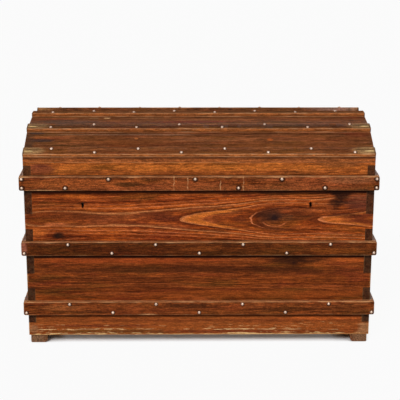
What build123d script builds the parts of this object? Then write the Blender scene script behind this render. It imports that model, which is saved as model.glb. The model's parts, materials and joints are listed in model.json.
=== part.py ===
from build123d import *
from math import atan2, asin, cos, sin, tan
import os

# Wooden trunk with a faceted lid. Millimetres, +X to the right seen from the front, +Y to the
# back, +Z up. The origin is on the floor under the middle of the trunk.

# Walls
body_width = 1000
body_depth = 520
body_height = 442
board = 22
finger_height = 44
upper_finger_drop = 72
middle_finger_rise = 39
foot_finger = 39
finger_margin = 2

# Bottom and skids
bottom_board = 16
bottom_rise = 6
bottom_count = 3
groove_depth = 6
groove_clearance = 0.5
skid_width = 48
skid_height = 24
skid_inset = 5
skid_end_inset = 2
skid_inner_round = 10
skid_outer_round = 4

# Battens round the body and the lid
batten_height = 42
batten_thickness = 12.5
lower_batten_rise = 65.5
middle_batten_rise = 248
edge_wear = 1.5
corner_wear = 3

# Lid
lid_gap = 0.6
shoulder_rise = 96
ridge_rise = 148.5
crest_rise = 162.5
ridge_inset = 130
roof_board = 15
lid_finger_low = 24
lid_finger_high = 71
slat_width = 36
slat_thickness = 10
slat_overhang = 1

# Domed nails
nail_head_radius = 4.5
nail_head_height = 3
nail_radius = 1.3
nail_length = 22
nail_point = 4
nail_fit = 0.05
nail_pitch = 125.5
lid_nail_pitch = 123
side_nail_inset = 42
corner_nail_inset = 8.5
nail_zigzag = 13
slat_nail_count = 8
eave_nail_inset = 81
eave_nail_pitch = 123
ridge_nail_inset = 70
ridge_nail_pitch = 124.5
crest_nail_inset = 63
crest_nail_pitch = 121.5
slat_zigzag = 9
lost_nail = 2

# Nails that hold the skids to the walls
skid_nail_radius = 1.8
skid_nail_head = 4
skid_nail_head_height = 1.5
skid_nail_sink = 3
skid_nail_grip = 20
skid_nail_pitch = 140
skid_nail_inset = 50

# Countersunk wood screws
screw_head_radius = 3.4
screw_head_height = 1.8
screw_radius = 1.6
screw_length = 12
screw_point = 3
screw_fit = 0.05
screw_slot_width = 0.8
screw_slot_depth = 0.7

# Hinges at the back
hinge_from_end = 190
hinge_width = 76
leaf_height = 38
leaf_thickness = 2.5
knuckle_radius = 4
knuckle_count = 5
knuckle_gap = 0.3
knuckle_clearance = 0.6
hinge_pin_radius = 2
hinge_pin_fit = 0.05
leaf_screw_spacing = 25
leaf_screw_drop = 24
pocket_side_clearance = 1
pocket_depth_clearance = 0.3

# Locks behind the front wall
left_lock_inset = 166
right_lock_inset = 182
keyhole_drop = 40.5
keyhole_radius = 4
keyhole_slot = 5
keyhole_fall = 13
lock_width = 80
lock_height = 60
lock_depth = 18
lock_wall = 2
lock_top_drop = 2
lock_flange = 14
flange_screw_inset = 9
key_pin_radius = 1.5
key_pin_short = 1.5
bolt_length = 51
bolt_height = 7.5
bolt_thickness = 5
bolt_tail = 34
bolt_drop = 16
bolt_clearance = 0.3
talon_width = 16
talon_fall = 12.5
talon_offset = -10
talon_notch = 5
guide_height = 15
guide_offsets = (-23.2, 12.5)
guide_width = 5
eye_offset = 22
eye_thickness = 4
eye_wall = 2.5
eye_clearance = 0.5
eye_tail = 5
eye_hole_margin = 0.85
eye_slot_clearance = 1.5
staple_width = 56
staple_height = 26
staple_thickness = 2.5
staple_rise = 1
staple_offset = 4
staple_screws = (-20, 6)

# Handles on the end walls
handle_plate_length = 120
handle_plate_height = 34
handle_plate = 3
lug_offset = 38
lug_width = 9
lug_height = 14
lug_reach = 12
pivot_offset = 6
pivot_radius = 3
pivot_fit = 0.08
pivot_tail = 2
bail_radius = 4
bail_half_width = 50
bail_drop = 50
bail_bend = 16
bail_clearance = 32
ledge_width = 10
ledge_height = 4
ledge_gap = 0.4
handle_screw_y = 18
handle_screw_z = 11

# Places worked out from the sizes
half_width = body_width / 2
half_depth = body_depth / 2
inner_half_width = half_width - board
inner_half_depth = half_depth - board
base_z = skid_height
rim_z = base_z + body_height
lid_z = rim_z + lid_gap
hinge_z = rim_z + lid_gap / 2
hinge_y = half_depth + knuckle_radius
lower_batten_z = base_z + lower_batten_rise
middle_batten_z = base_z + middle_batten_rise
seam_z = middle_batten_z + batten_height / 2
batten_half_width = half_width + batten_thickness
FRONT, BACK = -1, 1
LEFT, RIGHT = -1, 1
LOW = (Align.CENTER, Align.CENTER, Align.MIN)
HIGH = (Align.CENTER, Align.CENTER, Align.MAX)

# Heights at which the front and back boards run through to the corner, bottom to top
hidden_finger = batten_height - 2 * finger_margin
wall_fingers = [
    (base_z, base_z + foot_finger),
    (lower_batten_z + finger_margin, lower_batten_z + finger_margin + hidden_finger),
    (
        lower_batten_z + batten_height + middle_finger_rise,
        lower_batten_z + batten_height + middle_finger_rise + finger_height,
    ),
    (middle_batten_z + finger_margin, middle_batten_z + finger_margin + hidden_finger),
    (rim_z - upper_finger_drop - finger_height, rim_z - upper_finger_drop),
]

# Section of the roof: outer points of its front half, its slopes, and the inner points
shoulder = (-half_depth, lid_z + shoulder_rise)
ridge = (ridge_inset - half_depth, lid_z + ridge_rise)
crest = (0, lid_z + crest_rise)
lower_slope = atan2(ridge[1] - shoulder[1], ridge[0] - shoulder[0])
upper_slope = atan2(crest[1] - ridge[1], crest[0] - ridge[0])
ridge_tilt = (lower_slope + upper_slope) / 2
ridge_turn = (lower_slope - upper_slope) / 2
ridge_mitre = roof_board / cos(ridge_turn)
shoulder_under = (shoulder[0], shoulder[1] - roof_board / cos(lower_slope))
ridge_under = (ridge[0] + ridge_mitre * sin(ridge_tilt), ridge[1] - ridge_mitre * cos(ridge_tilt))
crest_under = (0, crest[1] - roof_board / cos(upper_slope))

# Outer faces of the battens, each with its local Z pointing out of the trunk
front_face = Plane((0, -half_depth - batten_thickness, 0), x_dir=(1, 0, 0), z_dir=(0, -1, 0))
back_face = Plane((0, half_depth + batten_thickness, 0), x_dir=(-1, 0, 0), z_dir=(0, 1, 0))
left_face = Plane((-batten_half_width, 0, 0), x_dir=(0, -1, 0), z_dir=(-1, 0, 0))
right_face = Plane((batten_half_width, 0, 0), x_dir=(0, 1, 0), z_dir=(1, 0, 0))

os.makedirs("parts", exist_ok=True)


def save(piece, label):
    """Label a finished sub-part and write its file."""
    piece.part.label = label
    export_step(piece.part, f"parts/{label}.step")


def within(spans, low, high):
    """The parts of the height spans that lie between low and high."""
    cut = [(max(a, low), min(b, high)) for a, b in spans]
    return [(a, b) for a, b in cut if b > a]


def between(spans, low, high):
    """The heights between low and high that the spans leave free."""
    edges = [low] + [z for span in within(spans, low, high) for z in span] + [high]
    free = zip(edges[::2], edges[1::2])
    return [(a, b) for a, b in free if b > a]


def spread(span, pitch):
    """Places spread evenly over a centred span, about one pitch apart, ends included."""
    gaps = max(1, round(span / pitch))
    return [span * (i / gaps - 0.5) for i in range(gaps + 1)]


def stepped(span, pitch):
    """Places stepped off from one end of a span; the last gap takes what is left over."""
    gaps = max(1, round(span / pitch))
    return [pitch * i - span / 2 for i in range(gaps)] + [span / 2]


def zigzag(face, along, centre, swing, first):
    """Nail places on a face, alternately swing above and below the height centre."""
    signs = [first if i % 2 == 0 else -first for i in range(len(along))]
    return [face * Location((u, centre + s * swing, 0)) for u, s in zip(along, signs)]


def heights(places, low, high):
    """The places whose height lies between low and high."""
    return [place for place in places if low < place.position.Z < high]


def drill(places, radius, depth):
    """Holes from each place straight into the wood."""
    if places:
        with Locations(*places):
            Cylinder(radius, depth, align=HIGH, mode=Mode.SUBTRACT)


def nail_holes(places):
    """Holes that domed nails fill."""
    drill(places, nail_radius + nail_fit, nail_length + nail_fit)


def screw_holes(places):
    """Countersunk holes that wood screws fill."""
    if places:
        with Locations(*places):
            Cone(
                screw_radius + screw_fit,
                screw_head_radius + screw_fit,
                screw_head_height,
                align=HIGH,
                mode=Mode.SUBTRACT,
            )
    drill(places, screw_radius + screw_fit, screw_length + screw_fit)


# Nail places of the battens. The end nails of the front and back rows go into the end grain
# of the side battens.
corner_span = 2 * (batten_half_width - corner_nail_inset)
side_span = body_depth - 2 * side_nail_inset
lower_centre = lower_batten_z + batten_height / 2
middle_centre = middle_batten_z + batten_height / 2
lid_centre = lid_z + batten_height / 2


def wall_rows(face, along):
    """Nail places of the lower and the middle batten on one face."""
    lower_row = zigzag(face, along, lower_centre, nail_zigzag, -1)
    return lower_row + zigzag(face, along, middle_centre, nail_zigzag, -1)


front_along = spread(corner_span, nail_pitch)
side_along = spread(side_span, nail_pitch)
front_nails = wall_rows(front_face, front_along)
back_nails = wall_rows(back_face, front_along)
left_nails = wall_rows(left_face, side_along)
right_nails = wall_rows(right_face, side_along)

# The lid's front row has a pair of nails at each end, and one of its other nails is lost
lid_along = stepped(corner_span, lid_nail_pitch)
lid_end_pairs = [
    front_face * Location((u, lid_centre + sign * nail_zigzag, 0))
    for u in (lid_along[0], lid_along[-1])
    for sign in (-1, 1)
]
lid_inner_row = zigzag(front_face, lid_along[1:-1], lid_centre, nail_zigzag, -1)
lid_front_nails = lid_end_pairs + [p for i, p in enumerate(lid_inner_row) if i != lost_nail]

# No nail of the lid's back row goes through a hinge
hinge_x = half_width - hinge_from_end
hinge_reach = hinge_width / 2 + nail_head_radius + pocket_side_clearance
lid_back_row = zigzag(back_face, spread(corner_span, nail_pitch), lid_centre, nail_zigzag, 1)
lid_back_nails = [p for p in lid_back_row if abs(abs(p.position.X) - hinge_x) > hinge_reach]
lid_left_nails = zigzag(left_face, side_along, lid_centre, nail_zigzag, 1)
lid_right_nails = zigzag(right_face, side_along, lid_centre, nail_zigzag, 1)


# Walls: two boards to a side, edge to edge behind the middle batten
def bottom_groove(length_x, length_y, x, y):
    """Groove in a lower board that the bottom boards sit in."""
    with Locations((x, y, base_z + bottom_rise)):
        Box(length_x, length_y, bottom_board, align=LOW, mode=Mode.SUBTRACT)


def keyhole(x):
    """Keyhole through the front wall, round above and slotted below."""
    with Locations((x, -half_depth + board / 2, rim_z - keyhole_drop)):
        Cylinder(keyhole_radius, 2 * board, rotation=(90, 0, 0), mode=Mode.SUBTRACT)
        Box(keyhole_slot, 2 * board, keyhole_fall, align=HIGH, mode=Mode.SUBTRACT)


def long_board(label, side, low, high, nails, screws, keyholes):
    """Front or back board with its corner fingers."""
    with BuildPart() as wall:
        with Locations((0, side * (half_depth - board / 2), low)):
            Box(body_width, board, high - low, align=LOW)
        for bottom, top in between(wall_fingers, low, high):
            with Locations(
                (-half_width, side * half_depth, bottom), (half_width, side * half_depth, bottom)
            ):
                Box(2 * board, 2 * board, top - bottom, align=LOW, mode=Mode.SUBTRACT)
        if low == base_z:
            groove_length = 2 * (inner_half_width + groove_depth)
            bottom_groove(groove_length, 2 * groove_depth, 0, side * inner_half_depth)
        for x in keyholes:
            keyhole(x)
        nail_holes(heights(nails, low, high))
        drill(heights(screws, low, high), screw_radius + screw_fit, screw_length + screw_fit)
    save(wall, label)


def end_board(label, side, low, high, nails, screws):
    """Left or right board, cut away where the front and back fingers run through."""
    with BuildPart() as wall:
        with Locations((side * (half_width - board / 2), 0, low)):
            Box(board, body_depth, high - low, align=LOW)
        for bottom, top in within(wall_fingers, low, high):
            with Locations(
                (side * half_width, -half_depth, bottom), (side * half_width, half_depth, bottom)
            ):
                Box(2 * board, 2 * board, top - bottom, align=LOW, mode=Mode.SUBTRACT)
        if low == base_z:
            bottom_groove(2 * groove_depth, body_depth, side * inner_half_width, 0)
        nail_holes(heights(nails, low, high))
        drill(heights(screws, low, high), screw_radius + screw_fit, screw_length + screw_fit)
        skid_nails_here = [p for p in skid_nail_places if p.position.X * side > 0]
        drill(skid_nails_here if low == base_z else [], skid_nail_radius, skid_nail_reach)
    save(wall, label)


# Nails up through the skids into the lower edges of the end walls
skid_nail_x = half_width - (board + skid_inset) / 2
skid_nail_reach = skid_height - skid_nail_sink + skid_nail_grip
skid_nail_places = [
    Location((side * skid_nail_x, y, skid_nail_sink), (180, 0, 0))
    for side in (LEFT, RIGHT)
    for y in spread(body_depth - 2 * skid_nail_inset, skid_nail_pitch)
]

# Screw places, each on the outer face of the plate that it holds
lock_xs = {"left": left_lock_inset - half_width, "right": half_width - right_lock_inset}
hinge_xs = {"left": -hinge_x, "right": hinge_x}
handle_sides = {"left": LEFT, "right": RIGHT}
bail_low = middle_batten_z + batten_height + bail_clearance
handle_z = bail_low + bail_radius + bail_drop
lock_top = rim_z - lock_top_drop
lock_bottom = lock_top - lock_height
flange_face = Plane((0, lock_wall - inner_half_depth, 0), x_dir=(-1, 0, 0), z_dir=(0, 1, 0))
staple_face = Plane((0, staple_thickness - inner_half_depth, 0), x_dir=(-1, 0, 0), z_dir=(0, 1, 0))
leaf_face = Plane((0, half_depth + leaf_thickness, 0), x_dir=(-1, 0, 0), z_dir=(0, 1, 0))
flange_screw_x = (lock_width + lock_flange) / 2
lock_screws = [
    flange_face * Location((-(x + sign * flange_screw_x), z, 0))
    for x in lock_xs.values()
    for sign in (-1, 1)
    for z in (lock_bottom + flange_screw_inset, lock_top - flange_screw_inset)
]
staple_screw_z = lid_z + staple_rise + staple_height / 2
staple_screw_places = [
    staple_face * Location((-(x + offset), staple_screw_z, 0))
    for x in lock_xs.values()
    for offset in staple_screws
]
leaf_screws_x = [x + i * leaf_screw_spacing for x in hinge_xs.values() for i in (-1, 0, 1)]
body_leaf_screws = [leaf_face * Location((-x, hinge_z - leaf_screw_drop, 0)) for x in leaf_screws_x]
lid_leaf_screws = [leaf_face * Location((-x, hinge_z + leaf_screw_drop, 0)) for x in leaf_screws_x]
plate_planes = {
    side: Plane((side * (half_width + handle_plate), 0, 0), x_dir=(0, side, 0), z_dir=(side, 0, 0))
    for side in (LEFT, RIGHT)
}
handle_screws = {
    side: [
        plane * Location((y, handle_z + z, 0))
        for y in (-handle_screw_y, handle_screw_y)
        for z in (-handle_screw_z, handle_screw_z)
    ]
    for side, plane in plate_planes.items()
}

keyhole_xs = list(lock_xs.values())
long_board("front_lower_board", FRONT, base_z, seam_z, front_nails, [], [])
long_board("front_upper_board", FRONT, seam_z, rim_z, front_nails, lock_screws, keyhole_xs)
long_board("back_lower_board", BACK, base_z, seam_z, back_nails, [], [])
long_board("back_upper_board", BACK, seam_z, rim_z, back_nails, body_leaf_screws, [])
end_board("left_lower_board", LEFT, base_z, seam_z, left_nails, [])
end_board("left_upper_board", LEFT, seam_z, rim_z, left_nails, handle_screws[LEFT])
end_board("right_lower_board", RIGHT, base_z, seam_z, right_nails, [])
end_board("right_upper_board", RIGHT, seam_z, rim_z, right_nails, handle_screws[RIGHT])

# Bottom boards, loose in the groove
bottom_span_y = 2 * (inner_half_depth + groove_depth - groove_clearance)
bottom_span_x = 2 * (inner_half_width + groove_depth - groove_clearance)
bottom_width = bottom_span_y / bottom_count
for index in range(bottom_count):
    with BuildPart() as bottom:
        with Locations((0, (index + 0.5) * bottom_width - bottom_span_y / 2, base_z + bottom_rise)):
            Box(bottom_span_x, bottom_width, bottom_board, align=LOW)
    save(bottom, f"bottom_board_{index + 1}")

# Skids, rounded along their lower edges
for name, side in handle_sides.items():
    with BuildPart() as skid:
        skid_x = side * (half_width - skid_inset - skid_width / 2)
        with Locations((skid_x, 0, 0)):
            Box(skid_width, body_depth - 2 * skid_end_inset, skid_height, align=LOW)
        lower_edges = skid.edges().filter_by(Axis.Y).group_by(Axis.Z)[0].sort_by(Axis.X)
        inner_edge, outer_edge = lower_edges if side == RIGHT else reversed(lower_edges)
        fillet(inner_edge, skid_inner_round)
        fillet(outer_edge, skid_outer_round)
        places = [p for p in skid_nail_places if p.position.X * side > 0]
        drill(places, skid_nail_radius, skid_nail_reach)
        with Locations(*places):
            Cylinder(
                skid_nail_head,
                2 * skid_nail_sink + skid_nail_head_height,
                align=Align.CENTER,
                mode=Mode.SUBTRACT,
            )
    save(skid, f"{name}_skid")


# Battens
def long_batten(label, side, low, nails, hinges):
    """Batten along the front or back, over the ends of the side battens."""
    with BuildPart() as batten:
        with Locations((0, side * (half_depth + batten_thickness / 2), low)):
            Box(2 * batten_half_width, batten_thickness, batten_height, align=LOW)
        outer = batten.faces().sort_by(Axis.Y)[0 if side == FRONT else -1]
        fillet(outer.edges().filter_by(Axis.Z), corner_wear)
        outer = batten.faces().sort_by(Axis.Y)[0 if side == FRONT else -1]
        fillet(outer.edges().filter_by(Axis.X), edge_wear)
        for x in hinges:
            pocket_width = hinge_width + 2 * pocket_side_clearance
            pocket_depth = leaf_thickness + pocket_depth_clearance
            with Locations((x, half_depth, hinge_z)):
                Box(
                    pocket_width,
                    2 * pocket_depth,
                    leaf_height + pocket_side_clearance,
                    align=LOW,
                    mode=Mode.SUBTRACT,
                )
            with Locations((x, hinge_y, hinge_z)):
                Cylinder(
                    knuckle_radius + knuckle_clearance,
                    pocket_width,
                    rotation=(0, 90, 0),
                    mode=Mode.SUBTRACT,
                )
        nail_holes(heights(nails, low, low + batten_height))
    save(batten, label)


def side_batten(label, side, low, nails, corner_nails):
    """Batten along an end wall, between the front and back battens."""
    with BuildPart() as batten:
        with Locations((side * (half_width + batten_thickness / 2), 0, low)):
            Box(batten_thickness, body_depth, batten_height, align=LOW)
        outer = batten.faces().sort_by(Axis.X)[0 if side == LEFT else -1]
        fillet(outer.edges().filter_by(Axis.Y), edge_wear)
        nail_holes(heights(nails + corner_nails, low, low + batten_height))
    save(batten, label)


wall_corner_nails = [p for p in front_nails + back_nails if abs(p.position.X) > half_width]
lid_corner_nails = [p for p in lid_front_nails + lid_back_nails if abs(p.position.X) > half_width]
for height_name, low in (("lower", lower_batten_z), ("middle", middle_batten_z)):
    long_batten(f"front_{height_name}_batten", FRONT, low, front_nails, [])
    long_batten(f"back_{height_name}_batten", BACK, low, back_nails, [])
    side_batten(f"left_{height_name}_batten", LEFT, low, left_nails, wall_corner_nails)
    side_batten(f"right_{height_name}_batten", RIGHT, low, right_nails, wall_corner_nails)
long_batten("lid_front_batten", FRONT, lid_z, lid_front_nails, [])
long_batten("lid_back_batten", BACK, lid_z, lid_back_nails, hinge_xs.values())
side_batten("lid_left_batten", LEFT, lid_z, lid_left_nails, lid_corner_nails)
side_batten("lid_right_batten", RIGHT, lid_z, lid_right_nails, lid_corner_nails)


# Lid: rim boards and gables, finger jointed
def lid_rim(label, side, nails, screws):
    """Front or back rim board, bevelled on top to meet the roof."""
    inner_top = shoulder_under[1] + board * tan(lower_slope)
    with BuildPart() as rim:
        with BuildSketch(Plane.YZ):
            Polygon(
                (side * half_depth, lid_z),
                (side * half_depth, shoulder_under[1]),
                (side * inner_half_depth, inner_top),
                (side * inner_half_depth, lid_z),
                align=None,
            )
        extrude(amount=half_width, both=True)
        with Locations(
            (-half_width, side * half_depth, lid_z + lid_finger_low),
            (half_width, side * half_depth, lid_z + lid_finger_low),
        ):
            Box(
                2 * board,
                2 * board,
                lid_finger_high - lid_finger_low,
                align=LOW,
                mode=Mode.SUBTRACT,
            )
        nail_holes(nails)
        drill(screws, screw_radius + screw_fit, screw_length + screw_fit)
    save(rim, label)


def gable(label, side, nails):
    """End board of the lid, under the roof boards."""
    front_half = [(-half_depth, lid_z), shoulder_under, ridge_under, crest_under]
    back_half = [(-y, z) for y, z in reversed(front_half[:-1])]
    with BuildPart() as end:
        with BuildSketch(Plane.YZ.offset(side * (half_width - board / 2))):
            Polygon(*front_half, *back_half, align=None)
        extrude(amount=board / 2, both=True)
        corner_height = shoulder_under[1] + board * tan(lower_slope) - lid_z
        for low, high in ((0, lid_finger_low), (lid_finger_high, corner_height)):
            with Locations(
                (side * half_width, -half_depth, lid_z + low),
                (side * half_width, half_depth, lid_z + low),
            ):
                Box(2 * board, 2 * board, high - low, align=LOW, mode=Mode.SUBTRACT)
        nail_holes(nails)
    save(end, label)


lid_rim("lid_front_rim", FRONT, lid_front_nails, staple_screw_places)
lid_rim("lid_back_rim", BACK, lid_back_nails, lid_leaf_screws)
gable("lid_left_gable", LEFT, lid_left_nails)
gable("lid_right_gable", RIGHT, lid_right_nails)

# Slats: the point of the roof under each one's centre line, its slope, the turn of the roof that
# its underside is hollowed to, and the first height, inset and pitch of its nails
eave = (
    shoulder[0] + slat_width / 2 * cos(lower_slope),
    shoulder[1] + slat_width / 2 * sin(lower_slope),
)
back_eave = (-eave[0], eave[1])
back_ridge = (-ridge[0], ridge[1])
eave_row = (eave_nail_inset, eave_nail_pitch)
ridge_row = (ridge_nail_inset, ridge_nail_pitch)
crest_row = (crest_nail_inset, crest_nail_pitch)
slats = {
    "front_eave_slat": (eave, lower_slope, 0, 1, *eave_row),
    "front_ridge_slat": (ridge, ridge_tilt, ridge_turn, -1, *ridge_row),
    "crest_slat": (crest, 0, upper_slope, -1, *crest_row),
    "back_ridge_slat": (back_ridge, -ridge_tilt, ridge_turn, 1, *ridge_row),
    "back_eave_slat": (back_eave, -lower_slope, 0, 1, *eave_row),
}
slat_length = body_width + 2 * slat_overhang
slat_nails = {}
for label, (point, slope, turn, first, inset, pitch) in slats.items():
    top_y = point[0] - slat_thickness * sin(slope)
    top_z = point[1] + slat_thickness * cos(slope)
    top_face = Plane((0, top_y, top_z), x_dir=(1, 0, 0), z_dir=(0, -sin(slope), cos(slope)))
    slat_along = [inset - slat_length / 2 + pitch * i for i in range(slat_nail_count)]
    slat_nails[label] = zigzag(top_face, slat_along, 0, slat_zigzag, first)
    section = Plane((0, top_y, top_z), x_dir=(0, cos(slope), sin(slope)), z_dir=(1, 0, 0))
    with BuildPart() as slat:
        with BuildSketch(section) as slat_section:
            side_depth = slat_thickness + slat_width / 2 * tan(turn)
            Polygon(
                (-slat_width / 2, 0),
                (-slat_width / 2, -side_depth),
                (0, -slat_thickness),
                (slat_width / 2, -side_depth),
                (slat_width / 2, 0),
                align=None,
            )
            fillet(slat_section.vertices().group_by(Axis.Y)[-1], edge_wear)
        extrude(amount=slat_length / 2, both=True)
        nail_holes(slat_nails[label])
    save(slat, label)

# Roof boards, mitred at the ridges and the crest
roof_sections = {
    "lower_roof_board": (shoulder, ridge, ridge_under, shoulder_under),
    "upper_roof_board": (ridge, crest, crest_under, ridge_under),
}
all_slat_nails = [place for places in slat_nails.values() for place in places]
for name, outline in roof_sections.items():
    for side_name, side in (("front", FRONT), ("back", BACK)):
        with BuildPart() as roof:
            with BuildSketch(Plane.YZ):
                Polygon(*[(-side * y, z) for y, z in outline], align=None)
            extrude(amount=half_width, both=True)
            nail_holes([p for p in all_slat_nails if p.position.Y * side > -slat_width])
        save(roof, f"{side_name}_{name}")

# Nails
dome_radius = (nail_head_radius**2 + nail_head_height**2) / (2 * nail_head_height)
dome_half_angle = asin(nail_head_radius / dome_radius) / 2
dome_middle = (
    dome_radius * sin(dome_half_angle),
    nail_head_height - dome_radius * (1 - cos(dome_half_angle)),
)
with BuildPart() as nail:
    with BuildSketch(Plane.XZ):
        with BuildLine():
            Polyline(
                (0, nail_head_height),
                (0, -nail_length),
                (nail_radius, nail_point - nail_length),
                (nail_radius, 0),
                (nail_head_radius, 0),
            )
            ThreePointArc((nail_head_radius, 0), dome_middle, (0, nail_head_height))
        make_face()
    revolve(axis=Axis.Z)
nail_groups = {
    "body_nails": front_nails + back_nails + left_nails + right_nails,
    "lid_batten_nails": lid_front_nails + lid_back_nails + lid_left_nails + lid_right_nails,
    "slat_nails": all_slat_nails,
}
for label, places in nail_groups.items():
    with BuildPart() as nails:
        with Locations(*places):
            add(nail.part)
    save(nails, label)

with BuildPart() as skid_nails:
    with Locations(*skid_nail_places):
        Cylinder(skid_nail_head - nail_fit, skid_nail_head_height, align=HIGH)
        Cylinder(skid_nail_radius - nail_fit, skid_nail_reach - nail_fit, align=HIGH)
save(skid_nails, "skid_nails")

# Screws
with BuildPart() as screw:
    with BuildSketch(Plane.XZ):
        Polygon(
            (0, 0),
            (0, -screw_length),
            (screw_radius, screw_point - screw_length),
            (screw_radius, -screw_head_height),
            (screw_head_radius, 0),
            align=None,
        )
    revolve(axis=Axis.Z)
    Box(
        screw_slot_width,
        2 * screw_head_radius,
        screw_slot_depth,
        align=HIGH,
        mode=Mode.SUBTRACT,
    )
screw_groups = {
    "body_screws": body_leaf_screws + lock_screws + handle_screws[LEFT] + handle_screws[RIGHT],
    "lid_screws": lid_leaf_screws + staple_screw_places,
}
for label, places in screw_groups.items():
    with BuildPart() as screws:
        with Locations(*places):
            add(screw.part)
    save(screws, label)

# Hinges: the knuckles of the two leaves alternate along the pin
knuckle_length = hinge_width / knuckle_count


def hinge_leaf(label, x, up, first_knuckle, screws):
    """One leaf: a plate on the back board and its knuckles round the pin."""
    plate_start = knuckle_radius + knuckle_clearance
    with BuildPart() as leaf:
        with Locations((x, half_depth + leaf_thickness / 2, hinge_z + up * plate_start)):
            Box(
                hinge_width,
                leaf_thickness,
                leaf_height - plate_start,
                align=LOW if up > 0 else HIGH,
            )
        for i in range(first_knuckle, knuckle_count, 2):
            knuckle_x = x + (i + 0.5) * knuckle_length - hinge_width / 2
            with Locations((knuckle_x, hinge_y, hinge_z)):
                Cylinder(knuckle_radius, knuckle_length - knuckle_gap, rotation=(0, 90, 0))
            with Locations((knuckle_x, half_depth + leaf_thickness / 2, hinge_z)):
                Box(
                    knuckle_length - knuckle_gap,
                    leaf_thickness,
                    plate_start,
                    align=LOW if up > 0 else HIGH,
                )
        with Locations((x, hinge_y, hinge_z)):
            Cylinder(
                hinge_pin_radius + hinge_pin_fit,
                2 * hinge_width,
                rotation=(0, 90, 0),
                mode=Mode.SUBTRACT,
            )
        screw_holes([p for p in screws if abs(p.position.X - x) < hinge_width / 2])
    save(leaf, label)


for name, x in hinge_xs.items():
    hinge_leaf(f"{name}_hinge_body_leaf", x, -1, 0, body_leaf_screws)
    hinge_leaf(f"{name}_hinge_lid_leaf", x, 1, 1, lid_leaf_screws)
    with BuildPart() as pin:
        with Locations((x, hinge_y, hinge_z)):
            Cylinder(hinge_pin_radius, hinge_width, rotation=(0, 90, 0))
    save(pin, f"{name}_hinge_pin")

# Locks: a case screwed behind the front wall, a bolt that slides in it, and a staple on the
# lid whose eye drops into the case
lock_y = lock_depth / 2 - inner_half_depth
bolt_low = rim_z - bolt_drop
bolt_centre_z = bolt_low + bolt_height / 2
key_z = rim_z - keyhole_drop
eye_depth = bolt_thickness + 2 * (eye_clearance + eye_wall)
eye_low = bolt_low - eye_hole_margin - eye_tail
for name, x in lock_xs.items():
    with BuildPart() as case:
        with Locations((x, -inner_half_depth + lock_wall / 2, lock_bottom)):
            Box(lock_width + 2 * lock_flange, lock_wall, lock_height, align=LOW)
        with Locations((x, lock_y, lock_bottom)):
            Box(lock_width, lock_depth, lock_height, align=LOW)
        with Locations((x, lock_y - lock_wall, lock_bottom + lock_wall)):
            Box(
                lock_width - 2 * lock_wall,
                lock_depth,
                lock_height - 2 * lock_wall,
                align=LOW,
                mode=Mode.SUBTRACT,
            )
        guide_depth = lock_depth - 2 * lock_wall
        for offset in guide_offsets:
            with Locations((x + offset, lock_y, bolt_centre_z)):
                Box(guide_width, guide_depth, guide_height)
        with Locations((x, lock_y, bolt_centre_z)):
            Box(
                lock_width - 2 * lock_wall,
                bolt_thickness + 2 * bolt_clearance,
                bolt_height + 2 * bolt_clearance,
                mode=Mode.SUBTRACT,
            )
        with Locations((x + eye_offset, lock_y, lock_top)):
            Box(
                eye_thickness + 2 * eye_slot_clearance,
                eye_depth + 2 * eye_clearance,
                2 * lock_wall,
                mode=Mode.SUBTRACT,
            )
        with Locations((x, lock_wall + key_pin_short - inner_half_depth, key_z)):
            Cylinder(
                key_pin_radius,
                lock_depth - 2 * lock_wall - key_pin_short,
                rotation=(-90, 0, 0),
                align=LOW,
            )
        screw_holes([p for p in lock_screws if abs(p.position.X - x) < lock_width])
    save(case, f"{name}_lock_case")

    with BuildPart() as bolt:
        with Locations((x - bolt_tail + bolt_length / 2, lock_y, bolt_low)):
            Box(bolt_length, bolt_thickness, bolt_height, align=LOW)
        with Locations((x + talon_offset, lock_y, bolt_low)):
            Box(talon_width, bolt_thickness, talon_fall, align=HIGH)
        with Locations((x + talon_offset, lock_y, bolt_low - talon_fall)):
            Cylinder(talon_notch, 2 * bolt_thickness, rotation=(90, 0, 0), mode=Mode.SUBTRACT)
    save(bolt, f"{name}_lock_bolt")

    with BuildPart() as staple:
        plate_y = staple_thickness / 2 - inner_half_depth
        plate_low = lid_z + staple_rise
        with Locations((x + staple_offset, plate_y, plate_low)):
            Box(staple_width, staple_thickness, staple_height, align=LOW)
        with Locations((x + eye_offset, lock_y, eye_low)):
            Box(eye_thickness, eye_depth, plate_low + staple_height - eye_low, align=LOW)
        web_depth = lock_y + inner_half_depth
        with Locations((x + eye_offset, lock_y - web_depth / 2, plate_low)):
            Box(eye_thickness, web_depth, staple_height, align=LOW)
        with Locations((x + eye_offset, lock_y, bolt_centre_z)):
            Box(
                2 * eye_thickness,
                bolt_thickness + 2 * eye_clearance,
                bolt_height + 2 * eye_hole_margin,
                mode=Mode.SUBTRACT,
            )
        screw_holes([p for p in staple_screw_places if abs(p.position.X - x) < staple_width])
    save(staple, f"{name}_lock_staple")

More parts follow.
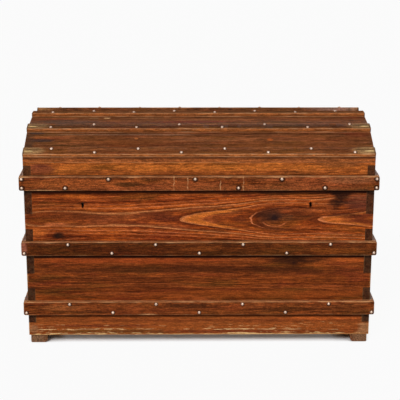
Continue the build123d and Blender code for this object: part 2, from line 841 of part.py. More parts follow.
# Handles: a plate with two lugs and two ledges, and a bail that hangs from the lugs
for name, side in handle_sides.items():
    plate_face_x = side * (half_width + handle_plate)
    pivot_x = plate_face_x + side * pivot_offset
    outward = (Align.MIN if side == RIGHT else Align.MAX, Align.CENTER, Align.CENTER)
    outward_low = (outward[0], Align.CENTER, Align.MIN)
    with BuildPart() as plate:
        with Locations((plate_face_x - side * handle_plate / 2, 0, handle_z)):
            Box(handle_plate, handle_plate_length, handle_plate_height)
        fillet(plate.edges().filter_by(Axis.X), corner_wear)
        with Locations((plate_face_x, -lug_offset, handle_z), (plate_face_x, lug_offset, handle_z)):
            Box(lug_reach, lug_width, lug_height, align=outward)
        ledge_z = handle_z + bail_radius + ledge_gap
        with Locations(
            (plate_face_x, -bail_half_width, ledge_z), (plate_face_x, bail_half_width, ledge_z)
        ):
            Box(lug_reach, ledge_width, ledge_height, align=outward_low)
        with Locations((pivot_x, 0, handle_z)):
            Cylinder(
                pivot_radius + pivot_fit,
                2 * bail_half_width,
                rotation=(90, 0, 0),
                mode=Mode.SUBTRACT,
            )
        screw_holes(handle_screws[side])
    save(plate, f"{name}_handle_plate")

    pivot_reach = bail_half_width - lug_offset + lug_width / 2 + pivot_tail
    with BuildPart() as bail:
        with BuildLine() as loop:
            FilletPolyline(
                (pivot_x, -bail_half_width, handle_z),
                (pivot_x, -bail_half_width, handle_z - bail_drop),
                (pivot_x, bail_half_width, handle_z - bail_drop),
                (pivot_x, bail_half_width, handle_z),
                radius=bail_bend,
            )
        with BuildSketch(Plane((pivot_x, -bail_half_width, handle_z), z_dir=(0, 0, -1))):
            Circle(bail_radius)
        sweep(path=loop.line)
        for end in (-1, 1):
            with Locations((pivot_x, end * bail_half_width, handle_z)):
                Sphere(bail_radius)
            with Locations((pivot_x, end * (bail_half_width - pivot_reach / 2), handle_z)):
                Cylinder(pivot_radius, pivot_reach, rotation=(90, 0, 0))
    save(bail, f"{name}_handle_bail")
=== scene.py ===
import json
from math import cos, radians, sin

import bpy
from bpy.props import FloatProperty, FloatVectorProperty, IntProperty, PointerProperty
from mathutils import Matrix, Vector


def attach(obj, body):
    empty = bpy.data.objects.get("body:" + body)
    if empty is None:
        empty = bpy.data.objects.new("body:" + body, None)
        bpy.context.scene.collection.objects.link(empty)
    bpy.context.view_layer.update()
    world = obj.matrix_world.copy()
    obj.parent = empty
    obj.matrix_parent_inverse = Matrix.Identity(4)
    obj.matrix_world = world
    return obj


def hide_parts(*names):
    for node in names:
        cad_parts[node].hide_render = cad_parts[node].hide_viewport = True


bl_info = {
    "name": "Wooden Trunk",
    "version": (1, 0, 0),
    "blender": (4, 5, 0),
    "location": "View3D > Sidebar > Trunk",
    "description": "Gives a packed pine trunk its worn battens, slats, stained wood and iron",
    "category": "Object",
}

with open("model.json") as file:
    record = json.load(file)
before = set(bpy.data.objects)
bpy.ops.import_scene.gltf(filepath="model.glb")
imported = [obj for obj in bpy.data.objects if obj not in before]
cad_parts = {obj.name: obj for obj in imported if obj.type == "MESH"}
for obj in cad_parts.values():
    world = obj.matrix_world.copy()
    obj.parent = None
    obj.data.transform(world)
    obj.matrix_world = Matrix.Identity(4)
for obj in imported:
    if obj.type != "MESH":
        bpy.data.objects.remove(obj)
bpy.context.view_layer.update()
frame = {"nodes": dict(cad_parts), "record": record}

UP = Vector((0, 0, 1))
FRONT = Vector((0, -1, 0))
BACK = Vector((0, 1, 0))
LEFT = Vector((-1, 0, 0))
RIGHT = Vector((1, 0, 0))


# Boards: where each one lies and how it is turned
class Board:
    """A board of the frame: x runs along its grain, y across its face and z out of its face."""

    def __init__(self, node, out):
        out = out.normalized()
        across = UP - UP.dot(out) * out
        across = across.normalized() if across.length > 0.02 else BACK.copy()
        along = across.cross(out)
        self.turn = Matrix((along, across, out)).transposed()
        points = [self.turn.transposed() @ v.co for v in frame["nodes"][node].data.vertices]
        low = Vector(min(p[i] for p in points) for i in range(3))
        high = Vector(max(p[i] for p in points) for i in range(3))
        self.node = node
        self.half = (high - low) / 2
        self.centre = self.turn @ ((low + high) / 2)
        self.euler = self.turn.to_euler()

    def level(self, height):
        """A height above the floor, as a distance from the board's middle."""
        return height - self.centre.z


def top_face(node):
    """Normal of the largest face of a node that looks up."""
    mesh = frame["nodes"][node].data
    return max((p for p in mesh.polygons if p.normal.z > 0.5), key=lambda p: p.area).normal.copy()


# Colours as they look on a screen, 0 to 255
def stain(red, green, blue):
    """A linear colour from the value that it shows on a screen."""
    return tuple(
        c / 12.92 if c <= 0.04045 else ((c + 0.055) / 1.055) ** 2.4
        for c in (red / 255, green / 255, blue / 255)
    )


def colour(name, description, value):
    """A colour property."""
    return FloatVectorProperty(
        name=name, description=description, default=value, size=3, subtype="COLOR", min=0, max=1
    )


def share(name, description, value):
    """A property from 0 to 1."""
    return FloatProperty(name=name, description=description, default=value, min=0, max=1, subtype="FACTOR")


def length(name, description, value):
    """A size in metres."""
    return FloatProperty(name=name, description=description, default=value, unit="LENGTH")


def angle(name, description, degrees):
    """An angle."""
    return FloatProperty(name=name, description=description, default=radians(degrees), unit="ROTATION")


def light(name, description, value):
    """The strength of a light."""
    return FloatProperty(name=name, description=description, default=value)


def stain_group(name, use, ring, contrast, wear, **tones):
    """A property group with the stain of one kind of board. Its tones are colours as on a screen."""
    notes = {
        "dark": ("Dark", "Soft wood that drank the stain"),
        "middle": ("Middle", "Most of the face"),
        "light": ("Light", "Pale streaks"),
        "line": ("Ring", "Hard rings that stayed pale"),
        "rubbed": ("Rubbed", "Arrises that are a little rubbed"),
        "worn": ("Worn", "Arrises that are rubbed to bare wood"),
    }
    properties = {key: colour(*notes[key], stain(*tone)) for key, tone in tones.items()}
    properties["ring"] = length("Ring width", "Width of a growth ring", ring)
    properties["contrast"] = share("Contrast", "How strongly the grain shows", contrast)
    properties["wear"] = length("Wear", "Width of the rubbed arrises", wear)
    return type(name, (bpy.types.PropertyGroup,), {"__doc__": use, "__annotations__": properties})


WallStain = stain_group(
    "WallStain",
    "Stain of the upper wall boards",
    ring=0.0046,
    contrast=0.9,
    wear=0.0016,
    dark=(78, 28, 10),
    middle=(144, 62, 19),
    light=(192, 94, 31),
    line=(206, 112, 62),
    rubbed=(170, 110, 66),
    worn=(206, 152, 100),
)
LowerStain = stain_group(
    "LowerStain",
    "Stain of the lower wall boards",
    ring=0.0046,
    contrast=0.75,
    wear=0.0022,
    dark=(72, 28, 9),
    middle=(118, 54, 18),
    light=(162, 80, 30),
    line=(160, 86, 46),
    rubbed=(176, 116, 66),
    worn=(216, 164, 104),
)
RimStain = stain_group(
    "RimStain",
    "Stain of the lid's rim and gables",
    ring=0.004,
    contrast=0.8,
    wear=0.0012,
    dark=(108, 50, 18),
    middle=(176, 92, 36),
    light=(200, 112, 44),
    line=(190, 112, 60),
    rubbed=(176, 116, 70),
    worn=(196, 146, 100),
)
RoofStain = stain_group(
    "RoofStain",
    "Dull stain of the boards on top of the lid",
    ring=0.0036,
    contrast=0.8,
    wear=0.0015,
    dark=(74, 40, 22),
    middle=(116, 66, 36),
    light=(156, 88, 48),
    line=(158, 104, 74),
    rubbed=(160, 100, 60),
    worn=(182, 126, 82),
)
SlatStain = stain_group(
    "SlatStain",
    "Stain of the slats over the roof's joints",
    ring=0.0036,
    contrast=0.7,
    wear=0.0022,
    dark=(76, 44, 24),
    middle=(116, 66, 36),
    light=(158, 92, 46),
    line=(158, 104, 70),
    rubbed=(166, 112, 72),
    worn=(214, 160, 114),
)
BattenStain = stain_group(
    "BattenStain",
    "Stain of the battens",
    ring=0.004,
    contrast=0.75,
    wear=0.0026,
    dark=(58, 22, 6),
    middle=(104, 48, 16),
    light=(150, 76, 30),
    line=(150, 86, 46),
    rubbed=(172, 112, 66),
    worn=(220, 162, 110),
)
BareWood = stain_group(
    "BareWood",
    "Bare, aged pine inside the trunk and under it",
    ring=0.005,
    contrast=0.6,
    wear=0.001,
    dark=(150, 108, 66),
    middle=(178, 136, 90),
    light=(198, 158, 110),
    line=(150, 98, 52),
    rubbed=(186, 146, 100),
    worn=(204, 168, 122),
)


class Metals(bpy.types.PropertyGroup):
    """Colours of the nails, locks and ironwork"""

    nail: colour("Nail", "Bright domed nail heads", stain(240, 207, 181))
    iron: colour("Iron", "Dark hinges, handles and screws", stain(52, 47, 43))
    rust: colour("Rust", "Rust in the iron's hollows", stain(96, 54, 32))
    steel: colour("Lock steel", "Dull sheet of the lock cases", stain(132, 126, 118))
    brass: colour("Brass", "Dull brass of the bolts and staples", stain(168, 136, 84))


class WornEdges(bpy.types.PropertyGroup):
    """Shape of the rubbed arrises of battens and slats"""

    bevel: length("Bevel", "Width of a rubbed arris", 0.002)
    corner: length("Corner", "Rounding of the corners of slats and outer battens", 0.005)
    dent: length("Dent", "Depth of the deepest dent in an arris", 0.0012)
    grain: length("Dent length", "Length of a dent", 0.045)
    cuts: IntProperty(
        name="Cuts", description="How many cuts a long edge gets", default=90, min=10, max=100
    )


class Stage(bpy.types.PropertyGroup):
    """Camera, floor and light"""

    lens: FloatProperty(name="Lens", description="Focal length", default=109.4, unit="CAMERA")
    camera: FloatVectorProperty(
        name="Camera",
        description="Place of the camera",
        default=(-0.036, -3.6, 1.387),
        size=3,
        unit="LENGTH",
    )
    pitch: angle("Pitch", "How far the camera looks down", 15.89)
    yaw: angle("Yaw", "How far the camera looks to the right", 0.65)
    roll: angle("Roll", "How far the camera leans", 0.1)
    floor: colour("Floor", "Pale floor", (0.93, 0.93, 0.93))
    sky: light("Sky", "Strength of the light from all round", 0.05)
    key: light("Key", "Strength of the key light", 2.0)
    fill: light("Fill", "Strength of the fill light", 0.5)
    back: light("Back", "Strength of the light on the back", 1.2)


class TrunkSettings(bpy.types.PropertyGroup):
    """Sizes and colours of the dressed trunk"""

    wall: PointerProperty(type=WallStain)
    lower: PointerProperty(type=LowerStain)
    rim: PointerProperty(type=RimStain)
    roof: PointerProperty(type=RoofStain)
    slat: PointerProperty(type=SlatStain)
    batten: PointerProperty(type=BattenStain)
    bare: PointerProperty(type=BareWood)
    metals: PointerProperty(type=Metals)
    edges: PointerProperty(type=WornEdges)
    stage: PointerProperty(type=Stage)


# Shader nodes
class Nodes:
    """Adds nodes to a tree. Each call gives back the socket that the next one takes."""

    def __init__(self, tree):
        self.tree = tree

    def feed(self, socket, value):
        """Link a socket to another one, or set its value."""
        if isinstance(value, bpy.types.NodeSocket):
            self.tree.links.new(value, socket)
        else:
            socket.default_value = value

    def put(self, kind, values, **settings):
        """A node with its settings and inputs."""
        made = self.tree.nodes.new(kind)
        for name, value in settings.items():
            setattr(made, name, value)
        for key, value in values.items():
            self.feed(made.inputs[key], value)
        return made

    def group(self, name, **values):
        """Outputs of a node that shows a group, with the group's inputs."""
        made = self.tree.nodes.new("ShaderNodeGroup")
        made.node_tree = bpy.data.node_groups[name]
        for key, value in values.items():
            self.feed(made.inputs[key], value)
        return made.outputs

    def math(self, operation, *values, clamp=False):
        """A number worked out from others."""
        made = self.put("ShaderNodeMath", dict(enumerate(values)), operation=operation, use_clamp=clamp)
        return made.outputs[0]

    def add(self, a, b):
        """One number and another."""
        return self.math("ADD", a, b)

    def minus(self, a, b):
        """One number less another."""
        return self.math("SUBTRACT", a, b)

    def times(self, a, b):
        """One number times another."""
        return self.math("MULTIPLY", a, b)

    def over(self, a, b):
        """One number divided by another."""
        return self.math("DIVIDE", a, b)

    def times_add(self, a, b, c):
        """Two numbers multiplied, and a third one added."""
        return self.math("MULTIPLY_ADD", a, b, c)

    def apart(self, a, b):
        """How far two numbers are apart."""
        return self.math("ABSOLUTE", self.minus(a, b))

    def vector(self, operation, *values):
        """A vector worked out from others."""
        made = self.put("ShaderNodeVectorMath", dict(enumerate(values)), operation=operation)
        return made.outputs[0]

    def measure(self, operation, *values):
        """A number worked out from vectors."""
        made = self.put("ShaderNodeVectorMath", dict(enumerate(values)), operation=operation)
        return made.outputs[1]

    def split(self, vector):
        """X, Y and Z of a vector."""
        return self.put("ShaderNodeSeparateXYZ", {0: vector}).outputs[:]

    def join(self, x, y, z):
        """A vector from three numbers."""
        return self.put("ShaderNodeCombineXYZ", {0: x, 1: y, 2: z}).outputs[0]

    def stretch(self, vector, x, y, z):
        """A vector scaled by a constant along each axis."""
        return self.vector("MULTIPLY", vector, (x, y, z))

    def noise(self, vector, scale=1.0, detail=2.0, rough=0.5):
        """Noise from 0 to 1, about one wave to a unit."""
        values = {"Vector": vector, "Scale": scale, "Detail": detail, "Roughness": rough}
        return self.put("ShaderNodeTexNoise", values).outputs[0]

    def noise_along(self, number, detail=2.0, rough=0.5):
        """Noise from 0 to 1 along a number."""
        values = {"W": number, "Scale": 1.0, "Detail": detail, "Roughness": rough}
        return self.put("ShaderNodeTexNoise", values, noise_dimensions="1D").outputs[0]

    def ease(self, value, low, high, bottom=0.0, top=1.0):
        """Smooth step from bottom at low to top at high."""
        values = {0: value, 1: low, 2: high, 3: bottom, 4: top}
        return self.put("ShaderNodeMapRange", values, interpolation_type="SMOOTHSTEP").outputs[0]

    def mix(self, factor, a, b, blend="MIX"):
        """Two colours mixed."""
        values = {0: factor, 6: a, 7: b}
        return self.put("ShaderNodeMix", values, data_type="RGBA", blend_type=blend).outputs[2]

    def bump(self, height, distance, strength):
        """A normal that follows a relief."""
        values = {"Height": height, "Distance": distance, "Strength": strength}
        return self.put("ShaderNodeBump", values).outputs[0]


def solid(value):
    """A colour with its alpha."""
    return (*value, 1.0)


def new_group(name, vectors, numbers, outputs):
    """An empty node group that takes vectors and numbers, and gives numbers."""
    tree = bpy.data.node_groups.new(name, "ShaderNodeTree")
    for label in vectors:
        tree.interface.new_socket(name=label, in_out="INPUT", socket_type="NodeSocketVector")
    for label in numbers:
        tree.interface.new_socket(name=label, in_out="INPUT", socket_type="NodeSocketFloat")
    for label in outputs:
        tree.interface.new_socket(name=label, in_out="OUTPUT", socket_type="NodeSocketFloat")
    entry = tree.nodes.new("NodeGroupInput").outputs
    result = tree.nodes.new("NodeGroupOutput").inputs
    return Nodes(tree), entry, result


def grain_group():
    """Growth rings of a pine board, cut by its faces, with its streaks and fibres."""
    vectors = ["Board", "Pith", "Lean"]
    numbers = ["Seed", "Shift", "Swell", "Ring", "Sway", "Ripple", "Phase"]
    outputs = ["Tone", "Line", "Thread", "Fibre", "Speck", "Growth"]
    n, entry, result = new_group("Pine grain", vectors, numbers, outputs)
    seed = entry["Seed"]
    shifted = n.vector("ADD", entry["Board"], n.join(seed, n.times(seed, 3.7), 0.0))
    sway = n.minus(n.noise(n.stretch(shifted, 2.6, 13, 9), detail=1.5), 0.5)
    ripple = n.minus(n.noise(n.stretch(shifted, 11, 42, 20), detail=2), 0.5)
    x, across, out = n.split(entry["Board"])
    pith_across, pith_depth = n.split(entry["Pith"])[1:]
    lean_across, lean_depth = n.split(entry["Lean"])[1:]
    across = n.add(across, entry["Shift"])
    side = n.minus(n.times_add(x, lean_across, across), pith_across)
    depth = n.add(n.times_add(x, lean_depth, out), pith_depth)
    radius = n.measure("LENGTH", n.join(side, depth, 0.0))
    wander = n.times_add(sway, entry["Sway"], n.times(ripple, entry["Ripple"]))
    growth = n.add(n.add(radius, wander), entry["Swell"])
    count = n.add(n.over(growth, entry["Ring"]), entry["Phase"])
    phase = n.math("FRACT", count)
    rise = n.math("POWER", phase, 3.5)
    fall = n.ease(phase, 0.93, 1.0, 1.0, 0.0)
    strong = n.ease(n.noise_along(n.add(n.math("FLOOR", count), 0.37), detail=0), 0.36, 0.6, 0.1, 1.0)
    fade = n.ease(n.noise(n.stretch(shifted, 9, 30, 22), detail=3), 0.35, 0.6, 0.15, 1.0)
    swept = n.vector("ADD", shifted, n.join(0.0, wander, 0.0))
    streak = n.noise(n.stretch(swept, 9, 110, 80), detail=4, rough=0.7)
    thread = n.noise(n.stretch(swept, 34, 330, 220), detail=3, rough=0.7)
    patch = n.noise(n.stretch(shifted, 7, 22, 12), detail=4, rough=0.6)
    wide = n.noise_along(n.add(n.times(count, 0.55), n.times(seed, 5.1)), detail=4, rough=0.7)
    coarse = n.times_add(wide, 0.6, n.times_add(phase, 0.12, n.times(patch, 0.6)))
    fine = n.times_add(streak, 0.6, n.times(thread, 0.45))
    n.feed(result["Tone"], n.ease(n.add(coarse, fine), 0.9, 1.44))
    n.feed(result["Line"], n.times(n.times(n.times(rise, fall), strong), fade))
    n.feed(result["Thread"], thread)
    n.feed(result["Fibre"], n.noise(n.stretch(swept, 120, 560, 500), detail=3, rough=0.7))
    n.feed(result["Speck"], n.noise(n.stretch(swept, 250, 430, 430), detail=2, rough=0.7))
    n.feed(result["Growth"], growth)


def spot(n, entry):
    """Offset from a group's place, and the distance in reaches."""
    offset = n.vector("SUBTRACT", entry["Board"], entry["Place"])
    return offset, n.measure("LENGTH", n.vector("DIVIDE", offset, entry["Reach"]))


def bell(n, distance):
    """1 in the middle, and smoothly less with distance."""
    return n.math("EXPONENT", n.times(n.times(distance, distance), -1.0))


def knot_group():
    """A knot: the rings flow round it and it is dark at its heart."""
    outputs = ["Shift", "Heart", "Halo", "Curl"]
    n, entry, result = new_group("Knot", ["Board", "Place", "Reach"], ["Radius", "Pull"], outputs)
    offset, near = spot(n, entry)
    radius = entry["Radius"]
    above = n.split(offset)[1]
    n.feed(result["Shift"], n.times(n.times(n.times(bell(n, near), above), entry["Pull"]), -1.0))
    ripple = n.noise(n.stretch(offset, 60, 60, 30), detail=2)
    distance = n.over(n.measure("LENGTH", n.vector("MULTIPLY", offset, (0.8, 1.0, 0.15))), radius)
    distance = n.add(distance, n.times_add(ripple, 0.5, -0.25))
    rings = n.times_add(n.math("SINE", n.times_add(distance, 5.4, 0.7)), 0.32, 0.68)
    n.feed(result["Heart"], n.times(n.ease(distance, 0.6, 1.6, 1.0, 0.0), rings))
    oval = n.vector("DIVIDE", offset, n.join(n.times(radius, 2.7), n.times(radius, 1.8), 1.0))
    arc = n.ease(n.apart(n.measure("LENGTH", oval), 1.0), 0.03, 0.09, 1.0, 0.0)
    n.feed(result["Curl"], n.times(arc, n.ease(n.over(above, radius), -1.3, -0.7, 1.0, 0.0)))
    n.feed(result["Halo"], n.ease(near, 0.35, 1.35, 1.0, 0.0))


def blot_group():
    """A soft ragged patch on a board."""
    n, entry, result = new_group("Blot", ["Board", "Place", "Reach"], ["Ragged"], ["Mask"])
    near = spot(n, entry)[1]
    ripple = n.noise(n.stretch(entry["Board"], 14, 110, 60), detail=4, rough=0.65)
    near = n.add(near, n.times(n.minus(ripple, 0.5), entry["Ragged"]))
    n.feed(result["Mask"], n.ease(near, 0.5, 1.15, 1.0, 0.0))


def hill_group():
    """A swelling that bends the rings."""
    n, entry, result = new_group("Hill", ["Board", "Place", "Reach"], ["Height"], ["Swell"])
    n.feed(result["Swell"], n.times(bell(n, spot(n, entry)[1]), entry["Height"]))


def band_group():
    """A band that follows one growth ring, from one place along the board to another."""
    numbers = ["Growth", "Ring", "Half", "From", "To", "Fade"]
    n, entry, result = new_group("Band", ["Board"], numbers, ["Mask"])
    x = n.split(entry["Board"])[0]
    ragged = n.noise(n.stretch(entry["Board"], 12, 90, 60), detail=3)
    half = n.times(entry["Half"], n.times_add(ragged, 0.9, 0.55))
    near = n.over(n.apart(entry["Growth"], entry["Ring"]), half)
    begin = n.ease(x, entry["From"], n.add(entry["From"], entry["Fade"]))
    finish = n.ease(x, n.minus(entry["To"], entry["Fade"]), entry["To"], 1.0, 0.0)
    n.feed(result["Mask"], n.times(n.ease(near, 0.65, 1.15, 1.0, 0.0), n.times(begin, finish)))


def arris_group():
    """Closeness to the arrises of a box of these half sizes, 1 on an arris."""
    n, entry, result = new_group("Arris", ["Board", "Half"], ["Width", "Seed"], ["Mask"])
    depth = n.vector("SUBTRACT", entry["Half"], n.vector("ABSOLUTE", entry["Board"]))
    a, b, c = n.split(depth)
    low, high = n.math("MINIMUM", a, b), n.math("MAXIMUM", a, b)
    middle = n.math("MAXIMUM", low, n.math("MINIMUM", high, c))
    shifted = n.vector("ADD", entry["Board"], n.join(entry["Seed"], 0.0, entry["Seed"]))
    ragged = n.noise(n.stretch(shifted, 22, 70, 70), detail=4, rough=0.65)
    width = n.times(entry["Width"], n.ease(ragged, 0.34, 0.68, 0.6, 1.35))
    strength = n.ease(n.noise(n.stretch(shifted, 7, 9, 9), detail=3), 0.36, 0.6, 0.45, 1.0)
    n.feed(result["Mask"], n.times(n.ease(n.over(middle, width), 0.5, 1.25, 1.0, 0.0), strength))


def build_groups():
    """The node groups that the wood materials share."""
    for build in (grain_group, knot_group, blot_group, hill_group, band_group, arris_group):
        build()


def board_vector(n, board, kind="Object"):
    """A point, or the normal, in a board's own axes."""
    source = n.put("ShaderNodeTexCoord", {}).outputs[kind]
    place = board.centre if kind == "Object" else (0, 0, 0)
    values = {"Vector": source, "Location": place, "Rotation": board.euler}
    return n.put("ShaderNodeMapping", values, vector_type="TEXTURE").outputs[0]


def new_material(name):
    """A material with a Principled shader, its nodes and the shader."""
    material = bpy.data.materials.new(name)
    material.use_nodes = True
    n = Nodes(material.node_tree)
    shader = material.node_tree.nodes["Principled BSDF"]
    return material, n, shader


# Wood, laid on in coats
def grain_colour(n, grain, finish):
    """Colour of the wood from its tone and rings."""
    tone = grain["Tone"]
    low = n.mix(n.ease(tone, 0.0, 0.5), solid(finish.dark), solid(finish.middle))
    body = n.mix(n.ease(tone, 0.5, 1.0), low, solid(finish.light))
    even = n.mix(finish.contrast, solid(finish.middle), body)
    return n.mix(n.times(grain["Line"], finish.contrast), even, solid(finish.line))


def end_colour(n, place, grain):
    """Dark end grain, with its rings and pores."""
    rings = n.times_add(n.math("SINE", n.times(grain["Growth"], 2200.0)), 0.5, 0.5)
    pores = n.noise(n.stretch(place, 30, 420, 420), detail=3, rough=0.7)
    tone = n.times_add(rings, 0.45, n.times(pores, 0.6))
    dirt = n.ease(n.noise(n.stretch(place, 70, 90, 70), detail=4, rough=0.65), 0.36, 0.6)
    wood = n.mix(n.ease(tone, 0.25, 0.8), solid(stain(38, 25, 17)), solid(stain(86, 60, 40)))
    return n.mix(dirt, solid(stain(30, 19, 12)), wood)


def chipped(n, place, height, reach, amount):
    """Mask of small chips that thin out away from a line along the board."""
    fleck = n.noise(n.stretch(place, 32, 420, 420), detail=3, rough=0.7)
    cloud = n.noise(n.stretch(place, 9, 20, 20), detail=2)
    away = n.over(n.apart(n.split(place)[1], height), reach)
    level = n.add(fleck, n.times_add(cloud, 0.35, n.times(away, -0.22)))
    return n.ease(level, 0.86 - amount, 0.93 - amount)


def scratched(n, place, along, low, high, width):
    """Mask of an upright scratch."""
    x, across, _ = n.split(place)
    bend = n.minus(n.noise(n.stretch(place, 0, 60, 0), detail=2), 0.5)
    beside = n.apart(n.times_add(bend, 0.008, x), along)
    thin = n.ease(n.over(beside, width), 0.4, 1.2, 1.0, 0.0)
    broken = n.ease(n.noise(n.stretch(place, 40, 150, 60), detail=2), 0.36, 0.56, 0.2, 0.95)
    inside = n.times(n.math("GREATER_THAN", across, low), n.math("LESS_THAN", across, high))
    return n.times(n.times(thin, broken), inside)


# How far the top of a nail's dome stands out of its board, and how far apart two nails are at least
DOME_RISE = (0.0028, 0.0034)
NAIL_SPACE = 0.006


def nail_heads(board):
    """Middles of the domed nails on a board's face, in its own axes."""
    turn = board.turn.transposed()
    heads = []
    for node in ("body_nails", "lid_batten_nails", "slat_nails"):
        for vertex in frame["nodes"][node].data.vertices:
            point = turn @ (vertex.co - board.centre)
            on_top = DOME_RISE[0] < point.z - board.half.z < DOME_RISE[1]
            if on_top and abs(point.x) < board.half.x and abs(point.y) < board.half.y:
                if all((head - point).length > NAIL_SPACE for head in heads):
                    heads.append(point)
    return [(head.x, head.y, board.half.z) for head in heads]


def nail_shade_and_grime(n, place, board, reach):
    """Mask of the dark rings round a board's nails."""
    nearest = 1.0
    for head in nail_heads(board):
        nearest = n.math("MINIMUM", n.measure("DISTANCE", place, head), nearest)
    ripple = n.noise(n.stretch(place, 190, 190, 60), detail=2)
    near = n.times_add(ripple, 0.004, nearest)
    return n.ease(near, reach - 0.003, reach, 1.0, 0.0)


# What a board's wood can have beyond its stain, with what it has if nothing is said.
# Places lie along and across the face from the board's middle, in metres. A reach is half the size
# of a mark, along and then across. Colours are as on a screen, and strengths run from 0 to 1.
# (*) is a share of half the thickness: 1 is the face, and -1 the hidden face.
PLAIN_BOARD = {
    "pith": (0.0, 0.1),  # heart of the tree: across the board, and behind it
    "lean": (0.004, 0.012),  # how far the pith drifts across and back, to a metre along
    "ring": None,  # width of a growth ring, if not the stain's own
    "phase": None,  # where the count of the rings starts, if not the seed's own
    "sway": 0.012,  # height of the long waves of the rings
    "ripple": 0.0026,  # height of their short waves
    "knots": (),  # along, across, reach, reach, radius of the heart, pull on the rings
    "heart": (36, 18, 16),  # colour at the heart of a knot
    "curls": 0,  # how many of the knots have a pale curl below
    "hills": (),  # along, across, reach, reach, rise of a swelling that bends the rings
    "bands": (),  # distance from the pith, half width, from, to, fade, colour, strength
    "blots": (),  # along, across, reach, reach, raggedness, colour, strength
    "texture": 0.9,  # strength of the fine streaks
    "specks": 0.28,  # strength of the specks in them
    "nailed": None,  # radius of the dark ring round a nail: painted shade, with some grime
    "shade_and_grime": (),  # across, reach, strength of a dark line along the board: painted shade beside a batten, with some grime
    "upper": None,  # colour and strength on the long side that looks up
    "under": None,  # colour and strength on the long side that looks down
    "painted_side_shade": (0.0, 1.0, -1.0),  # painted shade on those sides: strength, and where it starts and is full (*)
    "chips": (),  # across, reach, amount, colour
    "lined": False,  # whether the hidden face is bare
    "wear": None,  # width of the rubbed arrises, if not the stain's own
    "rub": 0.85,  # strength of the rubbing
    "lower_rub": 1.0,  # share of it on the lower arrises
    "scratches": (),  # along, from, to, half width
    "end": 0.85,  # strength of the dark end grain
    "rough": 0.4,  # roughness between the fibres
    "specular": 0.055,  # strength of the sheen
}
# Place, reaches and raggedness of a blot that covers a whole board
WHOLE_BOARD = (0.0, 0.0, 2.0, 2.0, 0.0)


